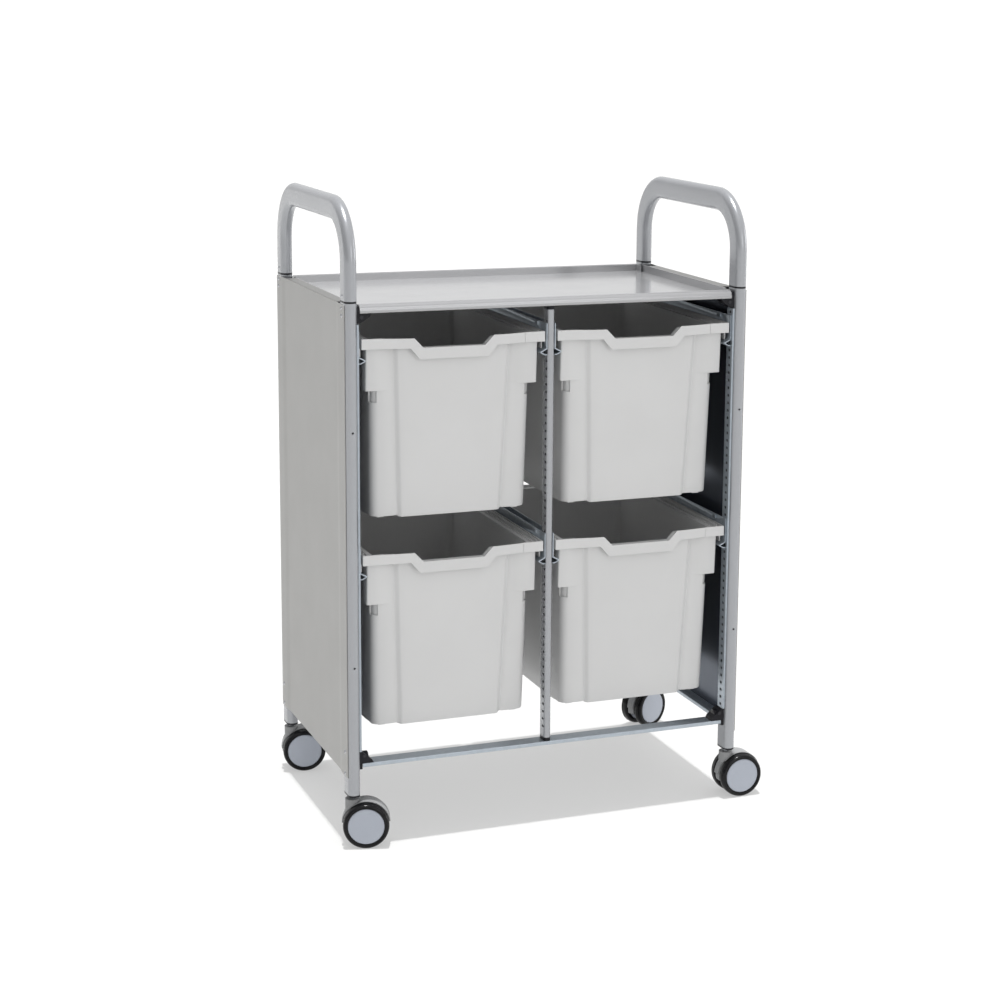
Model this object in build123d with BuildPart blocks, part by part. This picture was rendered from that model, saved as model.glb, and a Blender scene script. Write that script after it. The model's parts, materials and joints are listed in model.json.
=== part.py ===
from build123d import *
import math
import os

os.makedirs("parts", exist_ok=True)

# A double-column tray cart on four twin-wheel castors. Millimetres, +Z up.
# The floor is Z = 0, the front is -Y, and the origin is under the middle of
# the whole cart's outline, castors included.

# ---- driving dimensions -------------------------------------------------
post_spacing_x = 670.0      # left to right, between post centres
post_spacing_y = 389.0      # front to rear, between post centres
post_width = 20.0           # flat-oval tube, across the cart
post_depth = 39.0           # flat-oval tube, front to rear
tube_wall = 1.5
foot_z = 88.5               # underside of the posts above the floor
post_length = 798.5
handle_rise = 161.0         # top of the handle above the posts
handle_bend = 80.0          # bend radius of the handle's centre line

ring_height = 3.0           # visible rim of the plastic inserts
insert_length = 32.0        # how far an insert reaches into its tube
insert_clearance = 0.15

panel_thickness = 1.2
panel_bottom = 29.0         # above the underside of the posts
panel_top = 795.5           # above the underside of the posts
panel_lap = 12.5            # how far a panel laps past a post's centre
panel_joggle = 2.0          # how far the middle of a panel is set in
joggle_length = 22.0
panel_gap = 1.0             # between the panel's flanges and the posts

shelf_floor = 782.7         # top of the shelf's floor above the posts' feet
shelf_lip = 795.5           # top of the shelf's edge above the posts' feet
shelf_sheet = 1.2
shelf_edge_width = 12.0     # thickness of the rolled front and rear edge
shelf_edge_front = 11.5     # edge's outer face ahead of the post centres

rail_top = 50.0             # above the underside of the posts
rail_height = 6.5
rail_depth = 28.0
rail_sheet = 1.5
rail_front = 10.5           # rail's outer face ahead of the post centres
side_rail_width = 21.0

connector_thickness = 5.0   # between a post and the end of a rail
connector_reach = 19.0      # how far its nose lies along the rail
connector_depth = 24.0
connector_rise = {"bottom": 19.5, "top": 15.5}      # height of the nose
connector_drop = {"bottom": 9.5, "top": 12.0}       # plate past the rail's face
knob_diameter = 17.0
fit_gap = 0.2               # between pieces that only touch by eye

strip_width = 21.0
strip_thickness = 3.0
strip_sheet = 1.2
hole_pitch = 12.85
hole_width = 8.0
hole_height = 4.0
first_hole = 74.8           # above the underside of the posts
pin_hole = 3.5
pin_heights = (213.5, 595.0)

centre_post_width = 12.0
centre_post_depth = 25.0
centre_post_front = 9.5     # its front ahead of the end posts' centres
centre_cap = 6.0

runner_sheet = 1.5
runner_above_hook = 22.8    # runner's top above its upper hook
runner_height = 51.5
runner_nose = 10.0          # how far the ledge stands out
runner_slope = 5.0          # how far the ledge drops to its tip
runner_half_length = 202.0
runner_gap = 0.3            # between a runner's web and its strip
upper_hook_row = 51         # hole that the upper runners' upper hooks use
level_pitches = 27          # hole pitches between the two tray levels

tray_half_width = 153.0     # over the rim
tray_rim_drop = 12.0        # rim's top below its runner's top
tray_height = 294.0
tray_front = 203.0          # rim's front ahead of the middle
tray_back = 211.0
tray_wall = 2.5
tray_floor = 3.0
body_half_top = 134.6
body_half_bottom = 131.0
body_front_top = 191.0
body_front_bottom = 177.0
body_back_top = 203.0
body_back_bottom = 197.0
body_corner = 14.0
nest_height = 34.0          # height of the set-in foot of the side walls
nest_inset = 3.0
bulge = 3.5                 # how far the middle of the front stands out
bulge_half_top = 92.0
bulge_half_bottom = 81.5
bulge_flank = 6.0
rim_height = 16.0
rim_wall = 2.0
rim_corner = 3.5
rim_front_depth = 5.0
flange_drop = 5.0           # side flange below the rim's top
skirt_gap = 0.4             # between a tray's skirt and the runner's ledge
skirt_start = 190.0         # the deep skirt starts behind this
dip_half_top = 66.5         # hand dip in the front rim
dip_half_bottom = 51.5
dip_depth = 15.5
dip_half_under = 72.5
dip_half_under_bottom = 57.5
dip_strip = 17.5
ear_half = 143.5
ear_bottom = 84.5           # below the rim's top
ear_thickness = 3.0
ear_proud = 4.0             # ears ahead of the body's front
pocket_height = 20.0
pocket_depth = 14.5         # from the ear's edge inwards
pocket_run = 22.0           # from the front backwards

wheel_diameter = 75.0
wheel_width = 18.0
hub_diameter = 59.5
castor_width = 50.0
castor_trail = 22.0
web_gap = 0.5               # between a wheel and the castor's web
stem_diameter = 11.0
stem_clearance = 0.05
stem_low = 36.0             # stem's lower end below the posts' feet
neck_diameter = 23.0
neck_drop = 9.6             # top of the neck below the posts' feet
fender_gap = 0.7
fender_wall = 1.3
fender_width = 26.0
web_below = 10.0            # how far the web reaches below the axle
handle_screw_rise = 11.0    # screw in the handle above the posts' top
axle_diameter = 8.0
axle_clearance = 0.05
lever_width = 6.0
lever_clearance = 0.4
lever_pin = 4.0
lever_reach = 10.0          # how far the lever's tab passes the wheels
screw_head = 7.0
screw_rise = 1.6
screw_shank = 3.4

# Castor bearings: the way each outer wheel faces, in degrees from -Y to +X.
castors = {
    "front_left": (-1, -1, -16.0),
    "front_right": (1, -1, 1.0),
    "rear_left": (-1, 1, -10.0),
    "rear_right": (1, 1, 25.0),
}

# ---- places worked out from the dimensions ------------------------------
post_x = post_spacing_x / 2
post_y = post_spacing_y / 2
post_inner_x = post_x - post_width / 2
post_outer_x = post_x + post_width / 2
joint_z = foot_z + post_length
strip_x = post_inner_x - strip_thickness
wheel_radius = wheel_diameter / 2
axle_z = wheel_radius
runner_web_top = first_hole + upper_hook_row * hole_pitch + runner_above_hook
tray_rim_top = runner_web_top - tray_rim_drop
shelf_under = shelf_floor - shelf_sheet
web_half = castor_width / 2 - wheel_width - web_gap
hood_radius = wheel_radius + fender_gap + fender_wall


def castor_reach(direction):
    """How far the castor wheels reach along X, to one side (+1 or -1)."""
    reach = 0.0
    for side, end, bearing in castors.values():
        turn = math.radians(bearing)
        trail = castor_trail * math.cos(turn)
        spread = castor_width / 2 * abs(math.sin(turn)) + wheel_radius * math.cos(turn)
        reach = max(reach, direction * (side * post_x + trail) + spread)
    return max(reach, post_outer_x + panel_thickness)


# The castors trail to +X, so the frame stands a little to -X of the origin.
frame_x = (castor_reach(-1) - castor_reach(1)) / 2


def level(z, x=0.0, y=0.0):
    """A horizontal plane at height z above the floor."""
    return Plane(origin=(frame_x + x, y, z))


def facing_front(y, x=0.0, z=0.0):
    """An upright plane whose sketch shows X to the right and Z up, facing -Y."""
    return Plane(origin=(frame_x + x, y, z), x_dir=(1, 0, 0), z_dir=(0, -1, 0))


def facing_right(x, y=0.0, z=0.0):
    """An upright plane whose sketch shows Y to the right and Z up, facing +X."""
    return Plane(origin=(frame_x + x, y, z), x_dir=(0, 1, 0), z_dir=(1, 0, 0))


def save(piece, name):
    """Label a finished piece and write it to its own file."""
    piece.part.label = name
    export_step(piece.part, f"parts/{name}.step")


def tube_section(shrink=0.0):
    """The flat-oval outline of the tubes, made smaller all round by shrink."""
    SlotOverall(post_depth - 2 * shrink, post_width - 2 * shrink, rotation=90)


corners = [(sx, sy) for sx in (-1, 1) for sy in (-1, 1)]
side_names = {-1: "left", 1: "right"}
end_names = {-1: "front", 1: "rear"}

# ---- handles ------------------------------------------------------------
for side in (-1, 1):
    low = joint_z + ring_height
    high = joint_z + handle_rise - post_depth / 2
    with BuildPart() as handle:
        with BuildLine(facing_right(side * post_x)):
            FilletPolyline(
                (-post_y, low),
                (-post_y, high),
                (post_y, high),
                (post_y, low),
                radius=handle_bend,
            )
        with BuildSketch(level(low, side * post_x, -post_y)):
            tube_section()
            SlotOverall(
                post_depth - 2 * tube_wall,
                post_width - 2 * tube_wall,
                rotation=90,
                mode=Mode.SUBTRACT,
            )
        sweep()
        with BuildSketch(facing_right(side * post_x, 0, joint_z + handle_screw_rise)):
            with Locations((-post_y, 0), (post_y, 0)):
                Circle(screw_shank / 2)
        extrude(amount=side * post_width, mode=Mode.SUBTRACT)
    save(handle, f"handle_{side_names[side]}")

# ---- posts --------------------------------------------------------------
screw_rows = (panel_top - 5.0, panel_top - 17.0, panel_bottom + 5.0, panel_bottom + 41.0)
for side, end in corners:
    with BuildPart() as post:
        with BuildSketch(level(foot_z, side * post_x, end * post_y)):
            tube_section()
            SlotOverall(
                post_depth - 2 * tube_wall,
                post_width - 2 * tube_wall,
                rotation=90,
                mode=Mode.SUBTRACT,
            )
        extrude(amount=post_length)
        # Small pin holes on the outer end face.
        with BuildSketch(facing_front(end * post_y, side * post_x, foot_z)):
            with Locations(*[(0, height) for height in pin_heights]):
                Circle(pin_hole / 2)
        extrude(amount=-end * post_depth, mode=Mode.SUBTRACT)
        # Screw holes for the side panel.
        with BuildSketch(facing_right(side * post_x, end * post_y, foot_z)):
            with Locations(*[(0, height) for height in screw_rows]):
                Circle(screw_shank / 2)
        extrude(amount=side * post_width, mode=Mode.SUBTRACT)
    save(post, f"post_{end_names[end]}_{side_names[side]}")

# ---- inserts between the posts and the handles, and in the posts' feet ----
with BuildPart() as joint_collars:
    for side, end in corners:
        with BuildSketch(level(joint_z, side * post_x, end * post_y)):
            tube_section()
        extrude(amount=ring_height)
        with BuildSketch(level(joint_z - insert_length, side * post_x, end * post_y)):
            tube_section(tube_wall + insert_clearance)
        extrude(amount=2 * insert_length + ring_height)
save(joint_collars, "joint_collars")

with BuildPart() as post_end_plugs:
    for side, end in corners:
        with BuildSketch(level(foot_z - ring_height, side * post_x, end * post_y)):
            tube_section()
        extrude(amount=ring_height)
        with BuildSketch(level(foot_z, side * post_x, end * post_y)):
            tube_section(tube_wall + insert_clearance)
        extrude(amount=insert_length - 6.0)
        with BuildSketch(level(foot_z - ring_height, side * post_x, end * post_y)):
            Circle(stem_diameter / 2)
        extrude(amount=insert_length, mode=Mode.SUBTRACT)
save(post_end_plugs, "post_end_plugs")

# ---- side panels --------------------------------------------------------
panel_face = post_outer_x + panel_thickness
lap_y = post_y + panel_lap
joggle_y = post_y - post_depth / 2 + 2.0
field_y = joggle_y - joggle_length
flange_half = post_y - post_depth / 2 - panel_gap
for side in (-1, 1):
    outer = [
        (panel_face, -lap_y),
        (panel_face, -joggle_y),
        (panel_face - panel_joggle, -field_y),
        (panel_face - panel_joggle, field_y),
        (panel_face, joggle_y),
        (panel_face, lap_y),
    ]
    inner = [(x - panel_thickness, y) for x, y in reversed(outer)]
    flange_inner = post_inner_x + fit_gap
    flange_width = panel_face - panel_joggle - panel_thickness - flange_inner
    with BuildPart() as side_panel:
        with BuildSketch(level(foot_z + panel_bottom)):
            with BuildLine():
                Polyline(*[(side * x, y) for x, y in outer + inner], close=True)
            make_face()
        extrude(amount=panel_top - panel_bottom)
        # A flange folded inwards between the posts, at the top.
        flange_x = side * (flange_inner + flange_width / 2 + panel_thickness / 2)
        with BuildSketch(level(foot_z + panel_top - panel_thickness, flange_x)):
            Rectangle(flange_width + panel_thickness, 2 * field_y)
        extrude(amount=panel_thickness)
        # Screw holes over the posts.
        for end in (-1, 1):
            with BuildSketch(facing_right(side * post_x, end * post_y, foot_z)):
                with Locations(*[(0, height) for height in screw_rows]):
                    Circle(screw_shank / 2)
            extrude(amount=side * post_width, mode=Mode.SUBTRACT)
        upright = side_panel.edges().filter_by(Axis.Z)
        rim_edges = upright.filter_by(lambda e: abs(abs(e.center().Y) - lap_y) < 0.1)
        fillet(rim_edges, radius=panel_thickness * 0.4)
    save(side_panel, f"side_panel_{side_names[side]}")

with BuildPart() as panel_screws:
    for side, end in corners:
        seat = facing_right(side * panel_face, end * post_y, foot_z)
        with BuildSketch(seat):
            with Locations(*[(0, height) for height in screw_rows]):
                Circle(screw_head / 2)
        extrude(amount=side * screw_rise)
        with BuildSketch(seat):
            with Locations(*[(0, height) for height in screw_rows]):
                Circle(screw_shank / 2 - 0.1)
        extrude(amount=-side * (panel_thickness + tube_wall))
    outer_rims = panel_screws.edges().filter_by(GeomType.CIRCLE)
    outer_x = panel_face + screw_rise
    caps = outer_rims.filter_by(lambda e: abs(abs(e.center().X - frame_x) - outer_x) < 0.1)
    fillet(caps, radius=screw_rise * 0.6)
    # Smaller ones in the handles, just above the joints.
    for side, end in corners:
        seat = facing_right(side * post_outer_x, end * post_y, joint_z + handle_screw_rise)
        with BuildSketch(seat):
            Circle(screw_head / 2 - 0.5)
        extrude(amount=side * 1.2)
        with BuildSketch(seat):
            Circle(screw_shank / 2 - 0.1)
        extrude(amount=-side * tube_wall)
save(panel_screws, "panel_screws")

# ---- top shelf: a shallow pan with a rolled edge front and rear ----------
edge_half_x = post_inner_x - connector_thickness - fit_gap
pan_half_x = post_inner_x - fit_gap
edge_out = post_y + shelf_edge_front
edge_in = edge_out - shelf_edge_width
with BuildPart() as top_shelf:
    with BuildSketch(level(foot_z + shelf_under)):
        Rectangle(2 * edge_half_x, 2 * (edge_in + shelf_sheet))
        Rectangle(2 * pan_half_x, 2 * (flange_half - 1.0))
    extrude(amount=shelf_sheet)
    # Upright sides between the posts.
    for side in (-1, 1):
        with BuildSketch(level(foot_z + shelf_under, side * (pan_half_x - shelf_sheet / 2))):
            Rectangle(shelf_sheet, 2 * (flange_half - 1.0))
        extrude(amount=shelf_lip - shelf_floor + shelf_sheet)
    # Rolled edges: a sloping top, a rounded nose and a flat underside.
    for end in (-1, 1):
        with BuildSketch(facing_right(-edge_half_x, 0, foot_z)):
            with BuildLine():
                Polyline(
                    (end * edge_in, shelf_under),
                    (end * edge_in, shelf_lip),
                    (end * (edge_in + 4.0), shelf_lip),
                    (end * edge_out, shelf_lip - 6.0),
                    (end * edge_out, shelf_under),
                    close=True,
                )
            make_face()
        extrude(amount=2 * edge_half_x)
    long_edges = top_shelf.edges().filter_by(Axis.X)
    nose = long_edges.filter_by(
        lambda e: abs(e.center().Y) > edge_out - 0.1 or abs(e.center().Z - foot_z - shelf_lip) < 0.1
    )
    nose = nose.filter_by(lambda e: abs(e.center().Y) > edge_in - 0.1)
    fillet(nose, radius=1.6)
save(top_shelf, "top_shelf")

# ---- bottom rails: channels open underneath -------------------------------
for end in (-1, 1):
    with BuildPart() as rail:
        rail_y = end * (post_y + rail_front - rail_depth / 2)
        with BuildSketch(facing_right(-edge_half_x, rail_y, foot_z + rail_top - rail_height / 2)):
            RectangleRounded(rail_depth, rail_height, 1.2)
            with Locations((0, -rail_sheet)):
                Rectangle(rail_depth - 2 * rail_sheet, rail_height, mode=Mode.SUBTRACT)
        extrude(amount=2 * edge_half_x)
    save(rail, f"bottom_rail_{end_names[end]}")

with BuildPart() as bottom_side_rails:
    for side in (-1, 1):
        rail_x = side * (strip_x + side_rail_width / 2)
        with BuildSketch(facing_front(flange_half - 1.0, rail_x, foot_z + rail_top - rail_height / 2)):
            RectangleRounded(side_rail_width, rail_height, 1.2)
            with Locations((0, -rail_sheet)):
                Rectangle(side_rail_width - 2 * rail_sheet, rail_height, mode=Mode.SUBTRACT)
        extrude(amount=2 * (flange_half - 1.0))
save(bottom_side_rails, "bottom_side_rails")

# ---- plastic corner connectors ------------------------------------------


def connector_outline(side, up, rise, drop):
    """A plate on the post and a wedge nose along the rail; up is +1 or -1."""
    root_x = side * (post_inner_x - 0.05)
    gap_x = side * (post_inner_x - connector_thickness + fit_gap)
    tip_x = side * (post_inner_x - connector_thickness - connector_reach)
    return [
        (root_x, up * rise),
        (side * (post_inner_x - connector_thickness), up * rise),
        (tip_x + side * 3.0, up * 5.5),
        (tip_x, up * fit_gap),
        (gap_x, up * fit_gap),
        (gap_x, -up * drop),
        (root_x, -up * drop),
    ]


connector_mid = post_y + rail_front - connector_depth / 2 - 0.5
connector_seats = {"bottom": (rail_top, 1), "top": (shelf_under, -1)}
for place, (seat, up) in connector_seats.items():
    with BuildPart() as connectors:
        for side, end in corners:
            start = end * connector_mid - connector_depth / 2
            drop = 0.0 if place == "top" and end > 0 else connector_drop[place]
            outline = connector_outline(side, up, connector_rise[place], drop)
            with BuildSketch(facing_front(start, 0, foot_z + seat)):
                with BuildLine():
                    Polyline(*outline, close=True)
                make_face()
            extrude(amount=-connector_depth)
        ends = connectors.edges().filter_by(Axis.Y)
        fillet(ends.filter_by(lambda e: up * (e.center().Z - foot_z - seat) > 1.0), radius=2.0)
        # A round knob on the inner slope of each bottom connector.
        if place == "bottom":
            for side, end in corners:
                knob_x = side * (post_inner_x - connector_thickness)
                knob_z = foot_z + seat + knob_diameter / 2 + fit_gap
                with BuildSketch(facing_right(knob_x, end * connector_mid, knob_z)):
                    Circle(knob_diameter / 2)
                extrude(amount=-side * 11.0)
    save(connectors, f"{place}_corner_connectors")

with BuildPart() as connector_screws:
    for side, end in corners:
        face_y = end * (connector_mid + connector_depth / 2)
        for height in (rail_top + 13.0, shelf_under - 6.0):
            screw_x = side * (post_inner_x - connector_thickness - 3.0)
            with BuildSketch(facing_front(face_y, screw_x, foot_z + height)):
                Circle(screw_head / 2 - 0.6)
            extrude(amount=-end * 1.2)
save(connector_screws, "connector_screws")

# ---- hole strips on the posts and the centre posts ------------------------
strip_low = rail_top + connector_rise["bottom"] + 1.0
strip_high = shelf_under - connector_rise["top"] - 1.0
hole_count = int((strip_high - 5.0 - first_hole) / hole_pitch) + 1
hole_rows = [first_hole + row * hole_pitch for row in range(hole_count)]
strip_y = post_y + 1.5
for side in (-1, 1):
    with BuildPart() as rack_strips:
        for end in (-1, 1):
            strip_mid = side * (post_inner_x - strip_thickness / 2)
            with BuildSketch(level(foot_z + strip_low, strip_mid, end * strip_y)):
                Rectangle(strip_thickness, strip_width)
                with Locations((side * strip_sheet, 0)):
                    Rectangle(strip_thickness, strip_width - 2 * strip_sheet, mode=Mode.SUBTRACT)
            extrude(amount=strip_high - strip_low)
            with BuildSketch(facing_right(side * strip_x, end * strip_y, foot_z)):
                with Locations(*[(0, height) for height in hole_rows]):
                    Rectangle(hole_width, hole_height)
            extrude(amount=side * (strip_sheet + 0.2), mode=Mode.SUBTRACT)
    save(rack_strips, f"rack_strips_{side_names[side]}")

centre_low = rail_top + centre_cap
centre_high = shelf_under - centre_cap
centre_y = post_y + centre_post_front - centre_post_depth / 2
for end in (-1, 1):
    with BuildPart() as centre_post:
        with BuildSketch(level(foot_z + centre_low, 0, end * centre_y)):
            RectangleRounded(centre_post_width, centre_post_depth, centre_post_width * 0.45)
            inner_width = centre_post_width - 2 * tube_wall
            inner_depth = centre_post_depth - 2 * tube_wall
            RectangleRounded(inner_width, inner_depth, inner_width * 0.4, mode=Mode.SUBTRACT)
        extrude(amount=centre_high - centre_low)
        with BuildSketch(facing_right(-centre_post_width, end * strip_y, foot_z)):
            with Locations(*[(0, height) for height in hole_rows]):
                Rectangle(hole_width, hole_height)
        extrude(amount=2 * centre_post_width, mode=Mode.SUBTRACT)
    save(centre_post, f"centre_post_{end_names[end]}")

with BuildPart() as centre_post_caps:
    for end in (-1, 1):
        for low, stub in ((rail_top, 1), (centre_high, -1)):
            with BuildSketch(level(foot_z + low, 0, end * centre_y)):
                RectangleRounded(centre_post_width, centre_post_depth, centre_post_width * 0.45)
            extrude(amount=centre_cap)
            stub_low = centre_low if stub > 0 else centre_high - 12.0
            with BuildSketch(level(foot_z + stub_low, 0, end * centre_y)):
                RectangleRounded(inner_width - 0.4, inner_depth - 0.4, inner_width * 0.35)
            extrude(amount=12.0)
save(centre_post_caps, "centre_post_caps")

# ---- runners that the trays hang on ---------------------------------------
web_outer = strip_x - runner_gap
web_inner = centre_post_width / 2 + runner_gap
level_names = {0: "upper", 1: "lower"}


def runner_outline(x, out, top):
    """A web at x with a folded ledge that stands out towards out (+1 or -1)."""
    web_foot = top - runner_height + runner_sheet * 2 + runner_slope + 3.0
    tip = x + out * (runner_sheet + runner_nose)
    return [
        (x, top),
        (x + out * runner_sheet, top),
        (x + out * runner_sheet, web_foot),
        (tip, web_foot - runner_slope),
        (tip, web_foot - runner_slope - 2.0),
        (x + out * 4.0, top - runner_height),
        (x, top - runner_height),
        (x, top - runner_height + runner_sheet),
        (x + out * 4.0, top - runner_height + runner_sheet),
        (tip - out * runner_sheet, web_foot - runner_slope - 1.2),
        (x, web_foot - runner_sheet * 0.6),
    ]


for drop in (0, 1):
    top = runner_web_top - drop * level_pitches * hole_pitch
    for side in (-1, 1):
        with BuildPart() as runners:
            for x, out in ((side * web_inner, side), (side * web_outer, -side)):
                with BuildSketch(facing_front(runner_half_length, 0, foot_z)):
                    with BuildLine():
                        Polyline(*runner_outline(x, out, top), close=True)
                    make_face()
                extrude(amount=2 * runner_half_length)
                # Hooks into the holes, and a stop tab above the tray's rim.
                for end in (-1, 1):
                    for row in (0, 1):
                        hook_z = foot_z + top - runner_above_hook - row * hole_pitch
                        with BuildSketch(facing_right(x, end * strip_y, hook_z)):
                            Rectangle(hole_width - 2.0, hole_height - 1.4)
                        extrude(amount=-out * (runner_gap + strip_sheet - 0.1))
                with BuildSketch(facing_right(x + out * runner_sheet, -strip_y + 36.0, foot_z + top - 4.0)):
                    Rectangle(12.0, 6.0)
                extrude(amount=out * 2.5)
        save(runners, f"{level_names[drop]}_{side_names[side]}_runners")

# ---- trays ----------------------------------------------------------------
tray_x = (web_outer - runner_sheet + web_inner + runner_sheet) / 2
web_foot_z = runner_web_top - runner_height + runner_sheet * 2 + runner_slope + 3.0
rim_gap = web_outer - runner_sheet - (tray_x + tray_half_width)
ledge_z = web_foot_z - runner_slope * rim_gap / runner_nose
skirt_height = tray_rim_top - ledge_z - skirt_gap


def tray_plane(x, bottom, z):
    """A horizontal plane z above a tray's underside."""
    return level(bottom + z, x)


def body_outline(share, shrink=0.0, inset=0.0):
    """The body's outline at a share of its height, smaller by shrink all round."""
    half = body_half_bottom + (body_half_top - body_half_bottom) * share - shrink - inset
    front = body_front_bottom + (body_front_top - body_front_bottom) * share - shrink
    back = body_back_bottom + (body_back_top - body_back_bottom) * share - shrink
    with Locations((0, (back - front) / 2)):
        RectangleRounded(2 * half, front + back, max(body_corner - shrink, 4.0))


def slab(x, y, low, size, mode=Mode.ADD):
    """A block centred on x and y that stands on the height low."""
    with Locations((frame_x + x, y, low + size[2] / 2)):
        Box(*size, mode=mode)


def build_tray(name, x, bottom):
    """A tapered tub with a rim, a hand dip, ears, a bulged front and skirts."""
    flange_z = tray_height - flange_drop
    rim_z = tray_height - rim_height
    rim_mid = (tray_back - tray_front) / 2
    rim_long = tray_front + tray_back
    with BuildPart() as tray:
        # Body, solid at first.
        for share in (0.0, 1.0):
            with BuildSketch(tray_plane(x, bottom, share * flange_z)):
                body_outline(share)
        loft()
        bottom_rim = tray.faces().sort_by(Axis.Z)[0].edges()
        fillet(bottom_rim, radius=3.0)
        # The bulged middle of the front, narrower towards the bottom.
        for share, half in ((0.0, bulge_half_bottom), (1.0, bulge_half_top)):
            height = share * (tray_height - dip_depth - 1.0)
            front = body_front_bottom + (body_front_top - body_front_bottom) * share
            with BuildSketch(tray_plane(x, bottom, height + 0.6 * (1 - share))):
                with BuildLine():
                    Polyline(
                        (-half - bulge_flank, -front + 4.0),
                        (-half - bulge_flank, -front),
                        (-half, -front - bulge),
                        (half, -front - bulge),
                        (half + bulge_flank, -front),
                        (half + bulge_flank, -front + 4.0),
                        close=True,
                    )
                make_face()
        loft()
        # Ears that widen the front beside the body.
        ear_z = tray_height - ear_bottom
        ear_share = (tray_height - ear_bottom / 2) / tray_height
        ear_front = body_front_bottom + (body_front_top - body_front_bottom) * ear_share
        ear_plane = tray_plane(x, bottom + ear_z, 0)
        for hand in (-1, 1):
            ear_middle = hand * (ear_half - 11.0)
            with BuildSketch(ear_plane):
                plate_y = -ear_front + (ear_thickness - ear_proud) / 2
                with Locations((ear_middle, plate_y)):
                    Rectangle(22.0, ear_thickness + ear_proud)
                with Locations((hand * (ear_half - ear_thickness / 2), plate_y + 8.0)):
                    Rectangle(ear_thickness, 16.0 + ear_thickness + ear_proud)
            extrude(amount=flange_z - ear_z)
        # Flange and rim round the top.
        with BuildSketch(tray_plane(x, bottom, flange_z - tray_wall)):
            with Locations((0, rim_mid)):
                RectangleRounded(2 * tray_half_width, rim_long, rim_corner)
        extrude(amount=tray_wall)
        with BuildSketch(tray_plane(x, bottom, rim_z)):
            with Locations((0, rim_mid)):
                RectangleRounded(2 * tray_half_width, rim_long, rim_corner)
                inner_half = tray_half_width - rim_wall
                RectangleRounded(
                    2 * inner_half,
                    rim_long - 2 * rim_wall,
                    rim_corner - rim_wall,
                    mode=Mode.SUBTRACT,
                )
        extrude(amount=rim_height)
        # Deep skirts along the sides, and short lips ahead of them.
        for hand in (-1, 1):
            skirt_x = x + hand * (tray_half_width - rim_wall / 2)
            skirt_long = skirt_start + tray_back - 12.0
            skirt_mid = (tray_back - 12.0 - skirt_start) / 2
            skirt_low = bottom + tray_height - skirt_height
            slab(skirt_x, skirt_mid, skirt_low, (rim_wall, skirt_long, skirt_height - 2.0))
            lip_x = x + hand * (tray_half_width - 5.5)
            slab(lip_x, -tray_front + 2.5, bottom + rim_z - 7.0, (9.0, 4.0, 9.0))
            # Ridges along the flange.
            for inward in (7.0, 13.0):
                ridge_x = x + hand * (tray_half_width - inward)
                rise = flange_drop if inward < 10.0 else flange_drop * 0.4
                slab(ridge_x, rim_mid, bottom + flange_z, (2.0, rim_long - 24.0, rise))
            # Thicker end blocks on the front rim.
            block_x = x + hand * (tray_half_width - 18.0)
            slab(block_x, -tray_front, bottom + rim_z, (31.0, 2.0, rim_height - 0.3))
        # Hand dip: cut the rim, flange and wall, then lay the strip under it.
        with BuildSketch(facing_front(-tray_front - 10.0, x, bottom)):
            with BuildLine():
                Polyline(
                    (-dip_half_top, tray_height),
                    (-dip_half_bottom, tray_height - dip_depth),
                    (dip_half_bottom, tray_height - dip_depth),
                    (dip_half_top, tray_height),
                    (dip_half_top, tray_height + 5.0),
                    (-dip_half_top, tray_height + 5.0),
                    close=True,
                )
            make_face()
        extrude(amount=-40.0, mode=Mode.SUBTRACT)
        with BuildSketch(facing_front(-tray_front, x, bottom)):
            with BuildLine():
                Polyline(
                    (-tray_half_width + 0.5, tray_height - 0.2),
                    (-dip_half_top, tray_height - 0.2),
                    (-dip_half_bottom, tray_height - dip_depth),
                    (dip_half_bottom, tray_height - dip_depth),
                    (dip_half_top, tray_height - 0.2),
                    (tray_half_width - 0.5, tray_height - 0.2),
                    (tray_half_width - 0.5, rim_z),
                    (dip_half_under, rim_z),
                    (dip_half_under_bottom, rim_z - dip_strip + 0.5),
                    (-dip_half_under_bottom, rim_z - dip_strip + 0.5),
                    (-dip_half_under, rim_z),
                    (-tray_half_width + 0.5, rim_z),
                    close=True,
                )
            make_face()
        extrude(amount=-rim_front_depth)
        # The inside: a narrower foot, then the tapered hollow.
        foot_share = nest_height / flange_z
        for share in (0.0, foot_share):
            with BuildSketch(tray_plane(x, bottom, tray_floor + share * flange_z)):
                body_outline(share, tray_wall, nest_inset)
        loft(mode=Mode.SUBTRACT)
        for share in (foot_share, 1.0):
            lift = tray_floor if share < 1.0 else 0.0
            with BuildSketch(tray_plane(x, bottom, share * flange_z + lift)):
                body_outline(share, tray_wall)
        loft(mode=Mode.SUBTRACT)
        for hand in (-1, 1):
            # Set-in foot of the side wall, so that the trays stack.
            nest_x = x + hand * (body_half_bottom - nest_inset + 10.0)
            slab(nest_x, 8.0, bottom, (20.0, 350.0, nest_height), Mode.SUBTRACT)
            # Pocket under the ear, backed by a block inside the corner.
            pocket_low = bottom + ear_z - pocket_height
            block_x = x + hand * (ear_half - pocket_depth - 2.5)
            block_y = -body_front_bottom + 8.0
            slab(block_x, block_y, pocket_low - 3.0, (9.0, 20.0, pocket_height + 6.0))
            pocket_x = x + hand * (ear_half - pocket_depth + 10.0)
            pocket_y = -body_front_top + pocket_run / 2
            slab(pocket_x, pocket_y, pocket_low, (20.0, pocket_run, pocket_height), Mode.SUBTRACT)
    save(tray, name)


for drop in (0, 1):
    rim_level = tray_rim_top - drop * level_pitches * hole_pitch
    for side in (-1, 1):
        build_tray(
            f"tray_{level_names[drop]}_{side_names[side]}",
            side * tray_x,
            foot_z + rim_level - tray_height,
        )

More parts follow.
